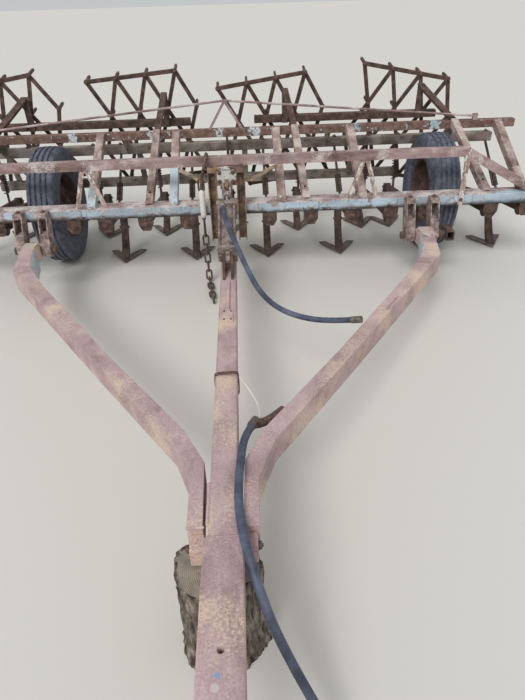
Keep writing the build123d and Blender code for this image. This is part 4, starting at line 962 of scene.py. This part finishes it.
drawbar_bolts = bmesh.new()
for side in SIDES:
    add_bolt(drawbar_bolts, side * 89, -2273, 315, (side, 0, 0), 11)
    add_bolt(drawbar_bolts, side * 30, -2872, 334, UP, 10)
    for y in (-1176, -1104):
        add_bolt(drawbar_bolts, side * 15, y, 377, UP, 5, washer=False)
as_piece(drawbar_bolts, "drawbar_bolts", "bolt", "drawbar", lifted=True)

# %% [markdown]
# Welds join the drawbar's plates and the frame's bars. A weld bead is a row of overlapping drops, so a bead
# here is a row of small, slightly uneven spheres that sink half into the corner.

# %% Weld beads
DROP_SPACE = 5
BAR_WELDS = ((-1810, 70), (-820, 5), (-328, 5), (328, 5), (820, 5), (1810, 70))
BAR_HALF = 25


def add_bead(bm, start, end, radius=4.5):
    """A weld bead from start to end."""
    start, end = Vector(start), Vector(end)
    count = max(2, int((end - start).length / DROP_SPACE))
    for i in range(count + 1):
        spot = start.lerp(end, i / count)
        size = radius * (1 + 0.18 * noise.noise(spot * 0.37))
        bmesh.ops.create_icosphere(bm, subdivisions=1, radius=size, matrix=Matrix.Translation(spot))


drawbar_beads = bmesh.new()
add_bead(drawbar_beads, (-40, -2280, 367), (40, -2280, 367))
for side in SIDES:
    add_bead(drawbar_beads, (side * 51, -2280, 300), (side * 51, -2280, 366))
    add_bead(drawbar_beads, (side * 53, -2249, 367), (side * 94, -2249, 367))
    add_bead(drawbar_beads, (side * 42, -2240, 366), (side * 42, -2100, 366), 6)
as_piece(drawbar_beads, "drawbar_weld_beads", "drawbar", "drawbar", lifted=True)

frame_beads = bmesh.new()
for x, start in BAR_WELDS:
    for side in SIDES:
        edge_x = x + BAR_HALF * side
        add_bead(frame_beads, (edge_x, start, 508), (edge_x, 96, 508), 4)
        add_bead(frame_beads, (edge_x, 570, 762), (edge_x, 570, 800), 4)
    add_bead(frame_beads, (x - 24, 570, 808), (x + 24, 570, 806), 4)
for side in SIDES:
    add_bead(frame_beads, (side * 1425, 14, 735), (side * 1425, 14, 778), 4)
    for x in (58, 108):
        add_bead(frame_beads, (side * x, -2, 444), (side * x, -2, 506), 4)
as_piece(frame_beads, "frame_weld_beads", "bars", "frame")

# %% [markdown]
# A few small things on the drawbar: the pipe that the second hose is screwed to, the wire that is wound round
# the middle beam, the old twine that hangs from it, the plate inside each arm, with its first paint left, and
# the mud that dried on the hinge heads.

# %% Pipe, wire, twine, painted plates and mud
PIPE_ROUTE = ((84, -1856, 452), (92, -1846, 446), (112, -1826, 428), (150, -1780, 402), (196, -1716, 384))
PIPE_R = 0.015
BEAM_HALF = 43
WIRE_Y = -1564
WIRE_TURNS = ((0, 2), (6, -3), (11, 4))
WIRE_LOOP = ((-38, 373), (0, 374.5), (38, 373), (43.5, 366), (44, 320), (43.5, 281), (38, 275), (0, 274),
             (-38, 275), (-43.5, 281), (-44, 320), (-43.5, 366))
THIN_WIRE_R = 0.0022
TWINE_ROUTE = ((46, -1572, 428), (66, -1590, 408), (94, -1630, 384), (110, -1675, 378), (116, -1730, 388),
               (112, -1790, 410), (104, -1822, 434), (96, -1838, 452), (88, -1852, 462))
TWINE_R = 0.0035
PLATE_PLACE = (1099.5, -345, 296)
PLATE_SIZE = (4, 262, 138)
CLODS = ((1168, -142, 352, 34), (1184, -166, 356, 21), (1152, -164, 354, 20))
CLOD_FLAT = 0.42

dress(smooth_line("hose_feed_pipe", PIPE_ROUTE, PIPE_R), "bolt", "drawbar")

for turn_number, (back, slant) in enumerate(WIRE_TURNS):
    wire = bpy.data.curves.new(f"wire_turn_{turn_number}", "CURVE")
    wire.dimensions = "3D"
    spline = wire.splines.new("NURBS")
    spline.points.add(len(WIRE_LOOP) - 1)
    for point, (x, z) in zip(spline.points, WIRE_LOOP):
        point.co = (*on_drawbar(x, WIRE_Y - back + slant * x / BEAM_HALF, z), 1)
    spline.order_u = 3
    spline.use_cyclic_u = True
    wire.bevel_depth = THIN_WIRE_R
    wire.bevel_resolution = 2
    dress(new_object(f"wire_turn_{turn_number}", wire), "bolt", "drawbar")

twine = smooth_line("old_twine", TWINE_ROUTE, TWINE_R)
_, twine_length = line_points(twine)
dress(twine, "string", "drawbar")

plates = bmesh.new()
for side in SIDES:
    x, y, z = PLATE_PLACE
    plate = shift(side * x, y, z) @ Matrix.Rotation(-side * atan2(63, 270), 4, "Z")
    made = bmesh.ops.create_cube(plates, size=1, matrix=plate @ Matrix.Diagonal((*PLATE_SIZE, 1)))
    soften(plates, list({e for v in made["verts"] for e in v.link_edges}), 1.5)
as_piece(plates, "painted_arm_plates", "patch", "drawbar", lifted=True)

clods = bmesh.new()
for side in SIDES:
    for x, y, z, size in CLODS:
        for v in bmesh.ops.create_icosphere(clods, subdivisions=3, radius=size)["verts"]:
            lump = 1 + 0.3 * noise.noise(v.co * 0.05 + Vector((x * side, y, z)))
            lump += 0.14 * noise.noise(v.co * 0.19)
            v.co = Vector((v.co.x * lump + side * x, v.co.y * lump + y, v.co.z * lump * CLOD_FLAT + z))
as_piece(clods, "dried_mud_clods", "mud", "drawbar", lifted=True)

# %% [markdown]
# The cylinder's rod is bright only where it slides through its seal, while the fork screwed to its end has
# rusted like the rest. So the rod's solid is replaced by two pieces, drawn along the cylinder's own line
# from its base pin: a round chrome rod, and a fork from bevelled blocks with its pin.

# %% Chrome rod and fork
CYL_BASE = Vector((0, -640, 452))
CYL_TOP = Vector((0, -80, 640))
CYL_LONG = (CYL_TOP - CYL_BASE).length
ROD_R = 16
ROD_FROM = 172
FORK_FROM = CYL_LONG - 62
ROD_TO = FORK_FROM - 14
YOKE = ((0, FORK_FROM - 8, 0), (52, 16, 44))
CHEEKS = (((-20, FORK_FROM + 42, 0), (12, 84, 44)), ((20, FORK_FROM + 42, 0), (12, 84, 44)))
along_cylinder = Matrix.Translation(CYL_BASE) @ Matrix.Rotation(atan2(188, 560), 4, "X")
FACING_ALONG = Matrix.Rotation(pi / 2, 4, "X")

rod = bmesh.new()
lathe(rod, 32, ROD_R, ROD_R, ROD_TO - ROD_FROM,
      along_cylinder @ shift(0, (ROD_TO + ROD_FROM) / 2, 0) @ FACING_ALONG)
soften(rod, [e for e in rod.edges if e.calc_face_angle() > 1], 1.5)
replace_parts(as_piece(rod, "chrome_cylinder_rod", "chrome", "rod"), "cylinder_rod")

fork = bmesh.new()
reach = along_cylinder @ Vector((0, FORK_FROM + 80, 0))
for centre, size in (YOKE, *CHEEKS):
    block = along_cylinder @ shift(*centre) @ Matrix.Diagonal((*size, 1))
    made = bmesh.ops.create_cube(fork, size=1, matrix=block)
    edges = list({e for v in made["verts"] for e in v.link_edges})
    if centre[0]:
        ends = [e for e in edges if all((v.co - reach).length < 40 for v in e.verts)
                and abs(e.verts[0].co.x - e.verts[1].co.x) > 5]
        soften(fork, ends, 20, segments=6)
    else:
        soften(fork, edges, 3)
pin = along_cylinder @ shift(0, CYL_LONG, 0) @ Matrix.Rotation(pi / 2, 4, "Y")
lathe(fork, 20, 11, 11, 70, pin)
for side in SIDES:
    lathe(fork, 20, 16, 14, 6, pin @ shift(0, 0, side * 30))
lathe(fork, 6, 24, 22, 14, along_cylinder @ shift(0, FORK_FROM - 22, 0) @ FACING_ALONG)
as_piece(fork, "rod_fork_and_pin", "ear", "rod")

# %% [markdown]
# ## Floor and light
#
# The floor is a plain pale sheet that keeps the machine's shadow. The light is an even pale sky with one
# large soft sun over the left shoulder, so each colour renders about as it is written.

# %% Floor, sky and sun
FLOOR_HALF = 40
SKY_STRENGTH = 0.62
SUN_STRENGTH = 1.7
SUN_WIDE = 25
SUN_TURN = (38, -22, 0)

floor_mesh = bpy.data.meshes.new("floor")
floor_bm = bmesh.new()
bmesh.ops.create_grid(floor_bm, x_segments=1, y_segments=1, size=FLOOR_HALF)
floor_bm.to_mesh(floor_mesh)
floor_bm.free()
floor = new_object("floor", floor_mesh)
pale_floor = bpy.data.materials.new("pale_floor")
pale_floor.use_nodes = True
floor_shader = pale_floor.node_tree.nodes["Principled BSDF"]
floor_shader.inputs["Base Color"].default_value = paint("#d9d6cf")
floor_shader.inputs["Roughness"].default_value = 0.9
floor.data.materials.append(pale_floor)

world = bpy.data.worlds.new("pale_sky")
bpy.context.scene.world = world
world.use_nodes = True
sky = world.node_tree.nodes["Background"]
sky.inputs["Color"].default_value = paint("#f2f4f6")
sky.inputs["Strength"].default_value = SKY_STRENGTH
sun_data = bpy.data.lights.new("sun", "SUN")
sun_data.energy = SUN_STRENGTH
sun_data.angle = radians(SUN_WIDE)
sun = new_object("sun", sun_data)
sun.rotation_euler = [radians(a) for a in SUN_TURN]
bpy.context.scene.view_settings.view_transform = "Standard"
